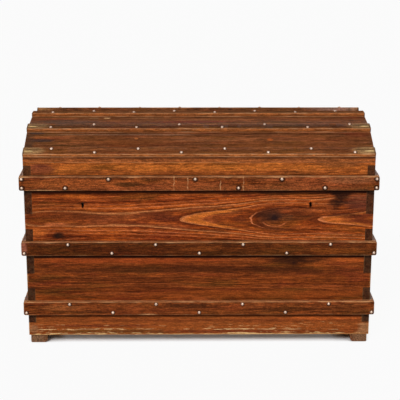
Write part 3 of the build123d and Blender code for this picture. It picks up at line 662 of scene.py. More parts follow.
class Pine:
    """Stained pine for one board, laid on in coats. Each coat changes the colour that lies under it."""

    def __init__(self, name, board, finish, seed, look):
        self.material, self.n, self.shader = new_material(name)
        self.board = board
        self.finish = finish
        self.seed = seed
        self.look = look
        self.place = board_vector(self.n, board)
        self.normal = self.n.split(board_vector(self.n, board, "Normal"))
        self.knots = []

    def lay(self, mask, strength, paint):
        """Lay a share of paint over the colour, under a mask."""
        self.shade = self.n.mix(self.n.times(mask, strength), self.shade, solid(paint))

    def mark(self, name, along, across, reach, height, depth, **values):
        """Outputs of a group that has its place and reach on the board's face."""
        values["Place"] = (along, across, self.board.half.z)
        values["Reach"] = (reach, height, depth)
        return self.n.group(name, Board=self.place, **values)

    def rings(self):
        """Growth rings, bent by the knots and hills."""
        n, look = self.n, self.look
        shift = 0.0
        for *place, radius, pull in look["knots"]:
            knot = self.mark("Knot", *place, 0.06, Radius=radius, Pull=pull)
            self.knots.append(knot)
            shift = n.add(knot["Shift"], shift)
        swell = 0.0
        for *place, rise in look["hills"]:
            swell = n.add(self.mark("Hill", *place, 0.2, Height=rise)["Swell"], swell)
        self.grain = n.group(
            "Pine grain",
            Board=self.place,
            Seed=self.seed,
            Shift=shift,
            Swell=swell,
            Pith=(0.0, *look["pith"]),
            Lean=(0.0, *look["lean"]),
            Ring=look["ring"] or self.finish.ring,
            Sway=look["sway"],
            Ripple=look["ripple"],
            Phase=look["phase"] or 11.3 * self.seed,
        )
        self.shade = grain_colour(n, self.grain, self.finish)

    def clouds(self):
        """Olive and plum clouds in the stain."""
        n = self.n
        hue = n.noise(n.stretch(self.place, 6, 40, 30), detail=3)
        self.lay(n.ease(hue, 0.54, 0.68), 0.4, stain(88, 60, 20))
        self.lay(n.ease(hue, 0.46, 0.34), 0.35, stain(120, 44, 27))

    def bands(self):
        """Bands that follow single rings."""
        for ring, half, begin, stop, fade, paint, strength in self.look["bands"]:
            values = {"Ring": ring, "Half": half, "From": begin, "To": stop, "Fade": fade}
            band = self.n.group("Band", Board=self.place, Growth=self.grain["Growth"], **values)
            self.lay(band["Mask"], strength, stain(*paint))

    def hearts(self):
        """Halos, dark hearts and pale curls of the knots."""
        for knot in self.knots:
            self.lay(knot["Halo"], 0.35, self.finish.dark)
        for knot in self.knots:
            self.lay(knot["Heart"], 0.92, stain(*self.look["heart"]))
        for knot in self.knots[: self.look["curls"]]:
            self.lay(knot["Curl"], 0.75, self.finish.line)

    def blots(self):
        """Ragged patches of another colour."""
        for *place, ragged, paint, strength in self.look["blots"]:
            self.lay(self.mark("Blot", *place, 0.05, Ragged=ragged)["Mask"], strength, stain(*paint))

    def streaks(self):
        """Fine streaks and specks."""
        n, grain, specks = self.n, self.grain, self.look["specks"]
        fibre = n.ease(grain["Fibre"], 0.32, 0.68, 0.72, 1.26)
        thread = n.ease(grain["Thread"], 0.36, 0.64, 0.62, 1.4)
        speck = n.ease(grain["Speck"], 0.34, 0.66, 1 - specks, 1 + specks)
        texture = n.times(n.times(fibre, thread), speck)
        self.texture = n.join(texture, texture, texture)
        self.shade = n.mix(self.look["texture"], self.shade, self.texture, "MULTIPLY")

    def shade_and_grime(self):
        """Dark rings round the nails, and dark lines where boards and battens meet."""
        n, look = self.n, self.look
        if look["nailed"]:
            # Painted shade round the nails, with some grime
            mask = nail_shade_and_grime(n, self.place, self.board, look["nailed"])
            self.lay(mask, 0.75, stain(32, 15, 6))
        # Painted shade along the battens, with some grime
        for height, reach, strength in look["shade_and_grime"]:
            off = n.over(n.apart(n.split(self.place)[1], height), reach)
            self.lay(n.ease(off, 0.35, 1.2, 1.0, 0.0), strength, stain(30, 8, 2))

    def long_sides(self):
        """Another colour on the sides that look up and down, darker away from the face."""
        n, look = self.n, self.look
        for side, key in ((1, "upper"), (-1, "under")):
            if look[key]:
                paint, strength = look[key]
                cloud = n.noise(n.stretch(self.place, 12, 60, 60), detail=3)
                facing = n.ease(n.times(self.normal[1], side), 0.5, 0.8)
                mask = n.times(facing, n.ease(cloud, 0.3, 0.6, 0.5, 1.0))
                bright = n.mix(1.0, solid(stain(*paint)), self.texture, "MULTIPLY")
                self.shade = n.mix(n.times(mask, strength), self.shade, bright)
                # Painted shade on the side, darker away from the face
                shaded, clear, full = look["painted_side_shade"]
                painted_side_shade = n.ease(n.over(n.split(self.place)[2], self.board.half.z), clear, full)
                self.lay(n.times(painted_side_shade, mask), shaded, self.finish.dark)

    def chips(self):
        """Small chips in the stain."""
        for *place, paint in self.look["chips"]:
            self.lay(chipped(self.n, self.place, *place), 0.85, stain(*paint))

    def lining(self):
        """Bare wood on the hidden face, with the same grain."""
        if self.look["lined"]:
            bare = grain_colour(self.n, self.grain, bpy.context.scene.trunk.bare)
            self.shade = self.n.mix(self.n.ease(self.normal[2], -0.4, -0.7), self.shade, bare)

    def rubbing(self):
        """Pale wood on the rubbed arrises and in the scratches."""
        n, look, finish = self.n, self.look, self.finish
        width = look["wear"] or finish.wear
        arris = n.group("Arris", Board=self.place, Half=self.board.half, Width=width, Seed=self.seed)
        fifth = 0.2 * self.board.half.y
        upward = n.ease(n.split(self.place)[1], -fifth, fifth, look["lower_rub"], 1.0)
        self.rubbed = n.times(arris["Mask"], upward)
        for scratch in look["scratches"]:
            self.rubbed = n.math("MAXIMUM", self.rubbed, scratched(n, self.place, *scratch))
        bright = n.noise(n.stretch(self.place, 30, 140, 140), detail=3)
        paint = n.mix(n.ease(bright, 0.3, 0.6), solid(finish.rubbed), solid(finish.worn))
        self.shade = n.mix(n.times(self.rubbed, look["rub"]), self.shade, paint)

    def ends(self):
        """Dark end grain."""
        n = self.n
        end = n.ease(n.math("ABSOLUTE", self.normal[0]), 0.5, 0.8)
        wood = end_colour(n, self.place, self.grain)
        self.shade = n.mix(n.times(end, self.look["end"]), self.shade, wood)

    def surface(self):
        """Gloss and relief, with the colour that all coats gave."""
        n, look, grain, inputs = self.n, self.look, self.grain, self.shader.inputs
        n.feed(inputs["Base Color"], self.shade)
        n.feed(inputs["Roughness"], n.times_add(grain["Fibre"], 0.25, look["rough"]))
        n.feed(inputs["Specular IOR Level"], look["specular"])
        relief = n.times_add(grain["Line"], 0.6, n.times(grain["Fibre"], 0.5))
        relief = n.times_add(self.rubbed, -0.6, relief)
        n.feed(inputs["Normal"], n.bump(relief, 0.0012, 0.5))


def pine(name, board, finish, seed, **look):
    """Stained pine for one board. PLAIN_BOARD says what its look can have."""
    wood = Pine(name, board, finish, seed, {**PLAIN_BOARD, **look})
    wood.rings()
    wood.clouds()
    wood.bands()
    wood.hearts()
    wood.blots()
    wood.streaks()
    wood.shade_and_grime()
    wood.long_sides()
    wood.chips()
    wood.lining()
    wood.rubbing()
    wood.ends()
    wood.surface()
    return wood.material


# Metal
def metal(name, paint, spot_paint, rough, spots, shine=1.0, domes=(), dulled=None):
    """A metal with grime or rust in spots and fine scratches.

    Domes that look out these ways are grimy at their foot. What is dulled gets another colour from one
    height above the floor to a second, up to a strength.
    """
    material, n, shader = new_material(name)
    place = n.put("ShaderNodeTexCoord", {}).outputs["Object"]
    spotted = n.ease(n.noise(place, 240, 4, 0.65), 0.62 - spots, 0.72 - spots / 2)
    cloud = n.noise(place, 60, 3, 0.6)
    dim = solid([part * 0.55 for part in paint])
    shade = n.mix(n.times(n.ease(cloud, 0.3, 0.7), 0.35), solid(paint), dim)
    shade = n.mix(n.times(spotted, 0.8), shade, solid(spot_paint))
    if domes:
        normal = n.put("ShaderNodeTexCoord", {}).outputs["Normal"]
        facing = 0.0
        for out in domes:
            facing = n.math("MAXIMUM", n.measure("DOT_PRODUCT", normal, out), facing)
        # Painted shade, with some grime, where the domes meet the wood
        shade = n.mix(n.ease(facing, 0.66, 0.9, 0.9, 0.0), shade, solid(stain(58, 34, 22)))
    if dulled:
        clear, full, strength, dull_paint = dulled
        shade = n.mix(n.ease(n.split(place)[2], clear, full, 0.0, strength), shade, solid(dull_paint))
    n.feed(shader.inputs["Base Color"], shade)
    n.feed(shader.inputs["Roughness"], n.times_add(spotted, 0.35, rough))
    n.feed(shader.inputs["Metallic"], n.math("MULTIPLY_ADD", spotted, -0.7, shine, clamp=True))
    scratches = n.noise(n.stretch(place, 900, 900, 140), 1.0, 3, 0.6)
    n.feed(shader.inputs["Normal"], n.bump(scratches, 0.0002, 0.35))
    return material


def dress(node, material):
    """Give a node of the frame its material."""
    slots = frame["nodes"][node].data.materials
    slots.clear()
    slots.append(material)


# Modelling by hand
def deselect():
    """Leave edit mode with nothing selected."""
    if bpy.context.object and bpy.context.object.mode != "OBJECT":
        bpy.ops.object.mode_set(mode="OBJECT")
    bpy.ops.object.select_all(action="DESELECT")


def pick(piece, kind, test):
    """Select the vertices, edges or faces of a piece that pass a test, and enter edit mode."""
    bpy.ops.object.mode_set(mode="EDIT")
    bpy.ops.mesh.select_mode(type=kind)
    bpy.ops.mesh.select_all(action="DESELECT")
    bpy.ops.object.mode_set(mode="OBJECT")
    mesh = piece.data
    if kind == "VERT":
        for vertex in mesh.vertices:
            vertex.select = test(vertex.co)
    elif kind == "EDGE":
        for edge in mesh.edges:
            edge.select = test(*(mesh.vertices[i].co for i in edge.vertices))
    else:
        for face in mesh.polygons:
            face.select = test(face)
    bpy.ops.object.mode_set(mode="EDIT")


def worn_bar(name, board, edges, seed, corner):
    """A square bar as big as a board, with rounded corners and rubbed, dented arrises."""
    deselect()
    bpy.ops.mesh.primitive_cube_add(size=1, scale=2 * board.half)
    piece = bpy.context.object
    piece.name = name
    piece.data.name = name
    bpy.ops.object.transform_apply(location=False, rotation=False, scale=True)
    half = board.half
    near = 1e-5
    pick(piece, "EDGE", lambda a, b: abs(a.x - b.x) > near)
    bpy.ops.mesh.subdivide(number_cuts=edges.cuts)

    def on_side(p):
        return abs(p.y) > half.y - near

    def on_end(p):
        return abs(p.x) > half.x - near

    def at_corner(p):
        return abs(p.x) > half.x - corner - near and abs(p.y) > half.y - corner - near

    def upright(a, b):
        return (a - b).to_2d().length < near and on_end(a) and on_side(a)

    def outer(a, b):
        on_face = min(a.z, b.z) > half.z - near
        return on_face and any(test(a) and test(b) for test in (on_side, on_end, at_corner))

    if corner:
        pick(piece, "EDGE", upright)
        bpy.ops.mesh.bevel(offset=corner, segments=4, affect="EDGES")
    pick(piece, "EDGE", outer)
    bpy.ops.mesh.bevel(offset=edges.bevel, segments=3, profile=0.6, affect="EDGES")
    deselect()
    piece.select_set(True)
    rubbed = piece.vertex_groups.new(name="rubbed")
    reach, lowest = edges.bevel * 1.02, 1.4 * half.z
    full, slight = 1.0, 0.45
    for vertex in piece.data.vertices:
        below = half.z - vertex.co.z
        middle = sorted((half.x - abs(vertex.co.x), half.y - abs(vertex.co.y), below))[1]
        if middle < reach and below < lowest:
            rubbed.add([vertex.index], full if middle < 0.8 * reach else slight, "REPLACE")
    cloud = bpy.data.textures.new(f"{name}_dents", "CLOUDS")
    cloud.noise_scale = edges.grain
    cloud.noise_depth = 3
    dents = piece.modifiers.new("dents", "DISPLACE")
    dents.texture = cloud
    dents.texture_coords = "LOCAL"
    dents.vertex_group = "rubbed"
    dents.mid_level = 1.0
    dents.strength = edges.dent
    piece.data.transform(Matrix.Translation((seed, 0, 0)))
    bpy.context.view_layer.objects.active = piece
    bpy.ops.object.modifier_apply(modifier="dents")
    piece.data.transform(Matrix.Translation((-seed, 0, 0)))
    return piece


def settle(piece, board, body):
    """Turn a square piece into its board's place, and let it ride."""
    piece.data.transform(Matrix.Translation(board.centre) @ board.turn.to_4x4())
    deselect()
    piece.select_set(True)
    bpy.context.view_layer.objects.active = piece
    bpy.ops.object.shade_smooth_by_angle(angle=radians(35))
    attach(piece, body)


# Where things lie, read from the frame
SIDES = {"front": FRONT, "back": BACK, "left": LEFT, "right": RIGHT}
battens = [(f"{side}_{level}_batten", side) for side in SIDES for level in ("lower", "middle")]
battens += [(f"lid_{side}_batten", side) for side in SIDES]
batten_boards = {node: Board(node, SIDES[side]) for node, side in battens}
rim_names = ("lid_front_rim", "lid_back_rim", "lid_left_gable", "lid_right_gable")
slat_names = ("front_eave_slat", "front_ridge_slat", "crest_slat", "back_ridge_slat", "back_eave_slat")

# Heights above the floor of the dark lines beside the battens: painted shade, with some grime
OVER_LID_BATTEN = 0.5085
OVER_MIDDLE_BATTEN = 0.314
UNDER_MIDDLE_BATTEN = 0.2662
UNDER_LOWER_BATTEN = 0.0838


class TRUNK_OT_walls(bpy.types.Operator):
    """Stain the eight boards of the walls"""

    bl_idname = "trunk.walls"
    bl_label = "Walls"

    def execute(self, context):
        trunk = context.scene.trunk
        seeds = {"front": 0.0, "back": 1.7, "left": 3.1, "right": 4.9}
        for side, out in SIDES.items():
            upper = Board(f"{side}_upper_board", out)
            lower = Board(f"{side}_lower_board", out)
            high = {
                "lined": True,
                "pith": (upper.level(0.38), 0.088),
                "lean": (0.0, -0.026),
                "sway": 0.014,
                # Painted shadow under the lid's batten, and painted shade above the middle batten, with
                # some grime
                "shade_and_grime": [
                    (upper.half.y, 0.0168, 0.93),
                    (upper.level(OVER_MIDDLE_BATTEN), 0.003, 0.4),
                ],
            }
            low = {
                "lined": True,
                "pith": (-0.02, 0.05),
                "lean": (0.006, 0.004),
                "sway": 0.014,
                "texture": 0.72,
                # Painted shadow under the middle and the lower batten, with some grime
                "shade_and_grime": [
                    (lower.level(UNDER_MIDDLE_BATTEN), 0.0058, 0.92),
                    (lower.level(UNDER_LOWER_BATTEN), 0.0055, 0.6),
                ],
            }
            if side == "front":
                high.update(self.front_upper(upper))
                low.update(self.front_lower(lower))
            dress(upper.node, pine(f"{side}_upper_pine", upper, trunk.wall, seeds[side] + 0.31, **high))
            dress(lower.node, pine(f"{side}_lower_pine", lower, trunk.lower, seeds[side] + 0.77, **low))
        return {"FINISHED"}

    def front_upper(self, board):
        """Knots, flames and stains of the board that shows most."""
        z = board.level
        dark = (44, 20, 10)
        flame = (214, 116, 46)
        # Painted shade in the keyholes
        keyhole_shade = (0.0045, 0.0095, 0.3, (14, 6, 4), 0.95)
        return {
            "phase": 0.5,
            "ring": 0.0051,
            "sway": 0.004,
            "ripple": 0.0016,
            "curls": 1,
            "texture": 0.82,
            "heart": (28, 13, 12),
            "knots": [
                (0.216, z(0.382), 0.08, 0.042, 0.014, 0.75),
                (0.405, z(0.43), 0.055, 0.03, 0.01, 0.6),
                (-0.409, z(0.329), 0.05, 0.03, 0.008, 0.6),
            ],
            "hills": [(-0.46, z(0.378), 0.16, 0.08, -0.0085)],
            "bands": [
                (0.1012, 0.0006, -0.12, 0.2, 0.05, (84, 32, 14), 0.6),
                (0.1004, 0.00045, -0.12, 0.6, 0.05, (208, 124, 70), 0.8),
                (0.0997, 0.0008, -0.12, 0.16, 0.1, flame, 0.85),
                (0.0985, 0.0008, 0.0, 0.3, 0.1, (120, 52, 20), 0.3),
                (0.0958, 0.0007, 0.0, 0.4, 0.05, (90, 40, 18), 0.5),
                (0.09505, 0.0001, 0.1, 0.27, 0.03, (232, 132, 80), 0.9),
                (0.0943, 0.0009, 0.15, 0.28, 0.02, (84, 38, 18), 0.65),
                (0.0902, 0.0004, 0.3, 0.6, 0.03, (84, 34, 16), 0.6),
                (0.08955, 0.0003, 0.3, 0.6, 0.02, (232, 136, 80), 0.9),
                (0.0889, 0.0006, 0.3, 0.6, 0.02, flame, 0.85),
                (0.0879, 0.001, 0.38, 0.6, 0.04, (104, 40, 22), 0.7),
                (0.1052, 0.0007, -0.6, 0.6, 0.05, (214, 132, 76), 0.75),
                (0.1042, 0.0009, -0.6, 0.1, 0.05, (92, 38, 16), 0.45),
                (0.1064, 0.0008, -0.6, 0.6, 0.05, (92, 36, 16), 0.5),
                (0.1092, 0.0006, -0.6, 0.6, 0.05, (200, 112, 66), 0.6),
                (0.1102, 0.0007, -0.6, 0.6, 0.05, (96, 40, 20), 0.4),
                (0.1128, 0.0007, -0.6, 0.6, 0.05, (196, 108, 60), 0.5),
            ],
            "blots": [
                (-0.41, z(0.4), 0.12, 0.06, 1.2, (100, 46, 16), 0.35),
                (0.42, z(0.4), 0.12, 0.05, 1.2, (96, 46, 22), 0.3),
                (0.404, z(0.45), 0.034, 0.03, 1.6, dark, 0.9),
                (0.388, z(0.425), 0.02, 0.02, 1.8, dark, 0.75),
                (0.375, z(0.413), 0.012, 0.008, 1.6, (180, 88, 40), 0.4),
                (0.42, z(0.392), 0.05, 0.008, 1.6, (70, 30, 16), 0.7),
                (0.4, z(0.378), 0.05, 0.005, 1.4, (214, 110, 46), 0.6),
                (0.46, z(0.428), 0.05, 0.03, 1.4, (104, 54, 38), 0.6),
                (0.29, z(0.392), 0.045, 0.02, 1.5, (88, 42, 20), 0.6),
                (0.204, z(0.39), 0.046, 0.022, 1.2, (70, 36, 22), 0.75),
                (0.218, z(0.384), 0.026, 0.016, 0.9, (64, 36, 26), 0.6),
                (0.216, z(0.383), 0.012, 0.01, 0.6, (38, 22, 22), 0.75),
                (0.25, z(0.384), 0.024, 0.014, 1.4, (84, 54, 34), 0.45),
                (0.06, z(0.378), 0.035, 0.009, 1.4, (130, 60, 26), 0.5),
                (0.118, z(0.378), 0.022, 0.009, 1.4, (120, 56, 28), 0.6),
                (-0.1, z(0.384), 0.04, 0.014, 1.2, (88, 36, 22), 0.6),
                (-0.33, z(0.388), 0.17, 0.011, 1.2, (104, 46, 20), 0.6),
                (-0.13, z(0.388), 0.07, 0.016, 1.2, (96, 42, 22), 0.5),
                (-0.475, z(0.34), 0.045, 0.014, 1.2, (192, 98, 40), 0.85),
                (-0.404, z(0.331), 0.02, 0.01, 1.5, (44, 24, 14), 0.8),
                (-0.41, z(0.364), 0.04, 0.007, 1.2, (190, 102, 56), 0.7),
                (-0.333, z(0.4205), *keyhole_shade),
                (0.3185, z(0.4205), *keyhole_shade),
            ],
        }

    def front_lower(self, board):
        """The dark band, the small knot and the chipped foot of the lower board."""
        z = board.level
        return {
            "wear": 0.003,
            "knots": [(0.274, z(0.247), 0.04, 0.02, 0.007, 0.6)],
            "blots": [
                (-0.05, z(0.226), 0.5, 0.012, 1.4, (70, 32, 12), 0.75),
                (0.3, z(0.222), 0.22, 0.012, 1.4, (78, 36, 14), 0.5),
                (-0.2, z(0.196), 0.32, 0.012, 1.6, (84, 38, 14), 0.6),
                (0.28, z(0.254), 0.09, 0.012, 1.4, (50, 24, 10), 0.85),
                (0.43, z(0.256), 0.06, 0.012, 1.4, (172, 82, 32), 0.8),
                (-0.2, z(0.256), 0.36, 0.012, 1.4, (164, 70, 28), 0.6),
                (0.15, z(0.15), 0.5, 0.014, 1.4, (150, 72, 26), 0.6),
                (0.0, z(0.055), 0.7, 0.04, 1.2, (160, 84, 36), 0.7),
                (0.1, z(0.068), 0.6, 0.006, 1.6, (116, 54, 24), 0.6),
                (-0.3, z(0.052), 0.2, 0.004, 1.6, (108, 46, 26), 0.7),
                (-0.25, z(0.034), 0.22, 0.006, 1.8, (112, 88, 34), 0.6),
                (0.0, z(0.034), 0.5, 0.005, 1.8, (110, 44, 26), 0.6),
                (0.35, z(0.075), 0.14, 0.006, 1.6, (196, 96, 40), 0.6),
                (0.486, z(0.043), 0.022, 0.02, 1.8, (170, 122, 82), 0.65),
                (-0.486, z(0.04), 0.016, 0.016, 1.8, (170, 122, 82), 0.5),
            ],
            "chips": [
                (z(0.026), 0.01, 0.2, (242, 202, 138)),
                (z(0.041), 0.006, 0.18, (240, 198, 140)),
                (z(0.05), 0.04, 0.08, (222, 172, 112)),
            ],
        }


class TRUNK_OT_battens(bpy.types.Operator):
    """Model the battens round the body and the lid, with rubbed arrises"""

    bl_idname = "trunk.battens"
    bl_label = "Battens"

    def execute(self, context):
        trunk = context.scene.trunk
        marked = {
            "lid_front_batten": self.lid_front,
            "front_middle_batten": self.front_middle,
            "front_lower_batten": self.front_lower,
        }
        for index, (node, board) in enumerate(batten_boards.items()):
            on_end = "left" in node or "right" in node
            look = {
                "nailed": 0.0098,
                "pith": (0.02, 0.06),
                "lean": (0.002, 0.01),
                "texture": 1.0,
                # Paler tops: rubbed wood with a painted highlight
                "upper": ((116, 80, 54) if on_end else (168, 106, 66), 0.8),
                "lower_rub": 0.45,
                "end": 0.5,
            }
            if node in marked:
                look.update(marked[node](board))
            material = pine(f"{node}_pine", board, trunk.batten, 0.13 + 0.71 * index, **look)
            if node == "lid_back_batten":
                dress(node, material)
                continue
            corner = 0.0 if on_end else trunk.edges.corner
            piece = worn_bar(f"worn_{node}", board, trunk.edges, 0.9 * index, corner)
            piece.data.materials.append(material)
            settle(piece, board, "lid" if node.startswith("lid") else "trunk")
            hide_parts(node)
        return {"FINISHED"}

    def lid_front(self, board):
        """Scratches, paler patches and a lost nail's hole of the batten on the lid's front."""
        top, bottom = board.half.y, -board.half.y
        return {
            "nailed": 0.0125,
            "specks": 0.4,
            "scratches": [
                (-0.072, bottom, top, 0.0016),
                (-0.033, bottom + 0.004, top - 0.004, 0.0019),
                (0.06, bottom, top - 0.012, 0.0013),
                (0.125, bottom, top, 0.0017),
            ],
            "blots": [
                (0.0, -0.012, 0.6, 0.012, 1.4, (160, 84, 44), 0.6),
                (0.0, 0.016, 0.6, 0.006, 1.4, (104, 50, 24), 0.45),
                (-0.33, 0.0, 0.2, 0.016, 1.8, (172, 88, 40), 0.65),
                (0.33, 0.004, 0.17, 0.016, 1.8, (156, 78, 40), 0.6),
                (-0.03, 0.0, 0.12, 0.014, 2.0, (150, 76, 36), 0.7),
                (-0.2, -0.002, 0.05, 0.008, 1.4, (58, 34, 12), 0.8),
                (0.43, 0.01, 0.08, 0.012, 0.9, (150, 90, 54), 0.6),
                # Painted shade of a lost nail's hole
                (-0.135, -0.013, 0.002, 0.002, 0.1, (20, 10, 6), 0.9),
                (-0.45, -0.02, 0.05, 0.003, 0.5, (206, 156, 104), 0.7),
            ],
        }

    def front_middle(self, board):
        """Dark left half and bruised left end of the middle batten."""
        return {
            "blots": [
                (-0.2, 0.0, 0.5, 0.04, 1.2, (64, 28, 6), 0.6),
                (0.3, 0.0, 0.4, 0.04, 1.6, (84, 40, 12), 0.4),
                (0.4, -0.006, 0.1, 0.008, 1.6, (140, 72, 24), 0.6),
                (0.02, 0.002, 0.06, 0.01, 1.6, (140, 72, 28), 0.5),
                (-0.506, 0.0, 0.012, 0.03, 0.4, (150, 88, 66), 0.8),
            ],
        }

    def front_lower(self, board):
        """Streaks, patches and a worn spot of the lower batten."""
        return {
            "blots": [
                (-0.19, 0.0, 0.03, 0.014, 0.8, (150, 72, 34), 0.7),
                (0.1, 0.0, 0.03, 0.014, 0.8, (150, 66, 30), 0.6),
                (0.0, 0.0, 0.6, 0.03, 1.8, (134, 66, 28), 0.5),
                (-0.4, 0.002, 0.07, 0.01, 1.6, (158, 88, 44), 0.6),
                (0.25, -0.004, 0.12, 0.008, 1.8, (70, 34, 12), 0.7),
                (-0.02, 0.008, 0.1, 0.008, 1.8, (66, 32, 12), 0.7),
                (-0.32, -0.01, 0.08, 0.007, 1.8, (70, 34, 14), 0.6),
                (0.42, 0.0, 0.06, 0.018, 0.9, (66, 36, 12), 0.4),
                (-0.15, -0.019, 0.03, 0.003, 0.5, (206, 150, 100), 0.8),
            ],
        }


class TRUNK_OT_slats(bpy.types.Operator):
    """Model the five slats over the joints of the roof, with rubbed arrises"""

    bl_idname = "trunk.slats"
    bl_label = "Slats"

    def execute(self, context):
        trunk = context.scene.trunk
        for index, node in enumerate(slat_names):
            board = Board(node, top_face(node))
            look = {
                "nailed": 0.0094,
                "pith": (0.03, 0.05),
                "lean": (0.002, 0.008),
                "sway": 0.01,
                "under": ((190, 108, 54), 0.75),
                # Painted shade on the slat's sides, darker towards the roof
                "painted_side_shade": (0.6, 1.0, -1.0),
                "end": 0.7,
                "specular": 0.015,
            }
            look.update(self.marks(node, self.pale_ends(board, 0.9 if "eave" in node else 0.6)))
            material = pine(f"{node}_pine", board, trunk.slat, 0.41 + 0.83 * index, **look)
            piece = worn_bar(f"worn_{node}", board, trunk.edges, 20 + 0.7 * index, trunk.edges.corner)
            self.hollow(piece, board, node)
            piece.data.materials.append(material)
            settle(piece, board, "lid")
            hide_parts(node)
        return {"FINISHED"}

    def pale_ends(self, board, strength):
        """Worn olive patches near the ends of a slat, and the dark of the ends themselves."""
        end = board.half.x
        blots = []
        for side in (-1, 1):
            blots += [
                (side * (end - 0.02), 0.0, 0.048, 0.022, 0.9, (176, 134, 88), strength),
                (side * (end - 0.03), 0.004, 0.03, 0.005, 1.8, (96, 66, 40), 0.7),
                (side * (end - 0.016), -0.003, 0.016, 0.0035, 1.0, (240, 204, 140), 0.9),
                (side * end, 0.0, 0.006, 0.1, 0.8, (62, 42, 28), 0.6),
            ]
        return blots

    def marks(self, node, ends):
        """Blots of one slat, and how its sheen and its sides differ from the others'."""
        if node == "front_eave_slat":
            # Lighter painted shade on the eave slat's sides, darker towards the roof
            return {"blots": [(*WHOLE_BOARD, (150, 82, 40), 0.25), *ends], "painted_side_shade": (0.4, 0.2, -1.0)}
        if node == "front_ridge_slat":
            return {"blots": [(0.0, -0.003, 2.0, 0.012, 0.6, (60, 36, 24), 0.5), *ends]}
        if node == "crest_slat":
            return {"blots": [(*WHOLE_BOARD, (140, 92, 62), 0.35)], "specular": 0.0}
        if node == "back_ridge_slat":
            return {"blots": [*ends, (-0.42, 0.0, 0.1, 0.03, 0.8, (166, 130, 114), 0.6)]}
        return {"blots": ends}

    def hollow(self, piece, board, node):
        """Raise the middle of the underside, where the slat sits over a joint."""
        middle = 1e-4
        turn = board.turn.transposed()
        points = [turn @ (v.co - board.centre) for v in frame["nodes"][node].data.vertices]
        seam = [p.z for p in points if abs(p.y) < middle and p.z < 0]
        if not seam:
            return
        under = -board.half.z
        deselect()
        piece.select_set(True)
        bpy.context.view_layer.objects.active = piece
        pick(piece, "FACE", lambda face: face.normal.z < -0.9)
        bpy.ops.mesh.subdivide(number_cuts=1)
        pick(piece, "VERT", lambda p: abs(p.y) < middle and p.z < under + middle)
        bpy.ops.transform.translate(value=(0, 0, max(seam) - under))
        deselect()


class TRUNK_OT_lid_boards(bpy.types.Operator):
    """Stain the lid's rim, gables and roof boards"""

    bl_idname = "trunk.lid_boards"
    bl_label = "Lid boards"

    def execute(self, context):
        trunk = context.scene.trunk
        for index, node in enumerate(rim_names):
            board = Board(node, SIDES[node.split("_")[1]])
            look = {
                "lined": True,
                "pith": (-0.03, 0.05),
                "lean": (0.004, 0.006),
                # Painted shade above the lid's batten, with some grime
                "shade_and_grime": [(board.level(OVER_LID_BATTEN), 0.003, 0.85)],
            }
            if node == "lid_front_rim":
                look["blots"] = self.front_rim(board)
            dress(node, pine(f"{node}_pine", board, trunk.rim, 0.53 + 1.3 * index, **look))
        marked = {
            "front_lower_roof_board": self.front_lower_roof,
            "front_upper_roof_board": self.front_upper_roof,
        }
        for index, side in enumerate(("front", "back")):
            for level in ("lower", "upper"):
                node = f"{side}_{level}_roof_board"
                look = {
                    "lined": True,
                    "pith": (0.02, 0.05),
                    "lean": (0.002, 0.004),
                    "sway": 0.008,
                    "under": ((150, 80, 36), 0.7),
                    # Painted shade on the boards' lower edges, darker away from the top
                    "painted_side_shade": (0.5, 1.0, -1.0),
                    "rough": 0.5,
                    "specular": 0.03,
                }
                if node in marked:
                    look.update(marked[node]())
                board = Board(node, top_face(node))
                dress(node, pine(f"{node}_pine", board, trunk.roof, 2.29 + index, **look))
        return {"FINISHED"}

    def front_rim(self, board):
        """The pale streak and the darker patches of the rim."""
        z = board.level
        return [
            (0.0, z(0.532), 0.6, 0.009, 1.6, (190, 104, 40), 0.7),
            (-0.27, z(0.533), 0.04, 0.01, 1.8, (96, 54, 14), 0.6),
            (-0.45, z(0.528), 0.045, 0.02, 1.2, (112, 54, 38), 0.75),
            (0.0, z(0.515), 0.6, 0.007, 1.4, (124, 62, 28), 0.5),
            (0.4, z(0.54), 0.08, 0.01, 0.8, (100, 60, 34), 0.5),
        ]

    def front_lower_roof(self):
        """Slate grey patches at the left end, and a front edge that is shaded by the slat."""
        slate = (60, 50, 46)
        return {
            "texture": 0.7,
            "under": ((172, 94, 46), 0.8),
            # Painted shadow of the eave slat along the top of the board's front edge
            "painted_side_shade": (0.85, -0.1, 0.55),
            "blots": [
                (-0.49, 0.0, 0.018, 0.07, 1.4, (74, 54, 40), 0.6),
                (-0.47, 0.05, 0.024, 0.007, 0.8, slate, 0.8),
                (-0.452, 0.014, 0.036, 0.009, 0.8, slate, 0.75),
                (-0.46, 0.03, 0.03, 0.004, 1.0, (176, 100, 52), 0.6),
                (0.205, 0.018, 0.008, 0.006, 2.2, (190, 96, 44), 0.75),
                (-0.181, 0.024, 0.006, 0.005, 1.2, (200, 116, 60), 0.8),
                (-0.2, 0.0, 0.12, 0.02, 1.6, (124, 66, 30), 0.6),
                (0.2, -0.02, 0.3, 0.03, 1.4, (140, 76, 38), 0.5),
                (-0.2, 0.044, 0.3, 0.004, 1.6, (150, 112, 88), 0.5),
            ],
        }

    def front_upper_roof(self):
        """The bruise near the left, and the shade along the lower slat."""
        return {
            "blots": [
                (-0.274, 0.034, 0.012, 0.006, 0.8, (224, 176, 124), 0.9),
                (-0.313, 0.034, 0.02, 0.004, 0.9, (196, 150, 104), 0.7),
                (-0.16, 0.034, 0.08, 0.004, 1.0, (150, 116, 76), 0.5),
                (0.0, -0.045, 0.6, 0.014, 1.6, (78, 56, 34), 0.7),
                (-0.38, 0.0, 0.12, 0.02, 1.6, (84, 62, 52), 0.6),
                (0.0, 0.0, 0.12, 0.012, 1.6, (124, 50, 36), 0.6),
            ],
        }


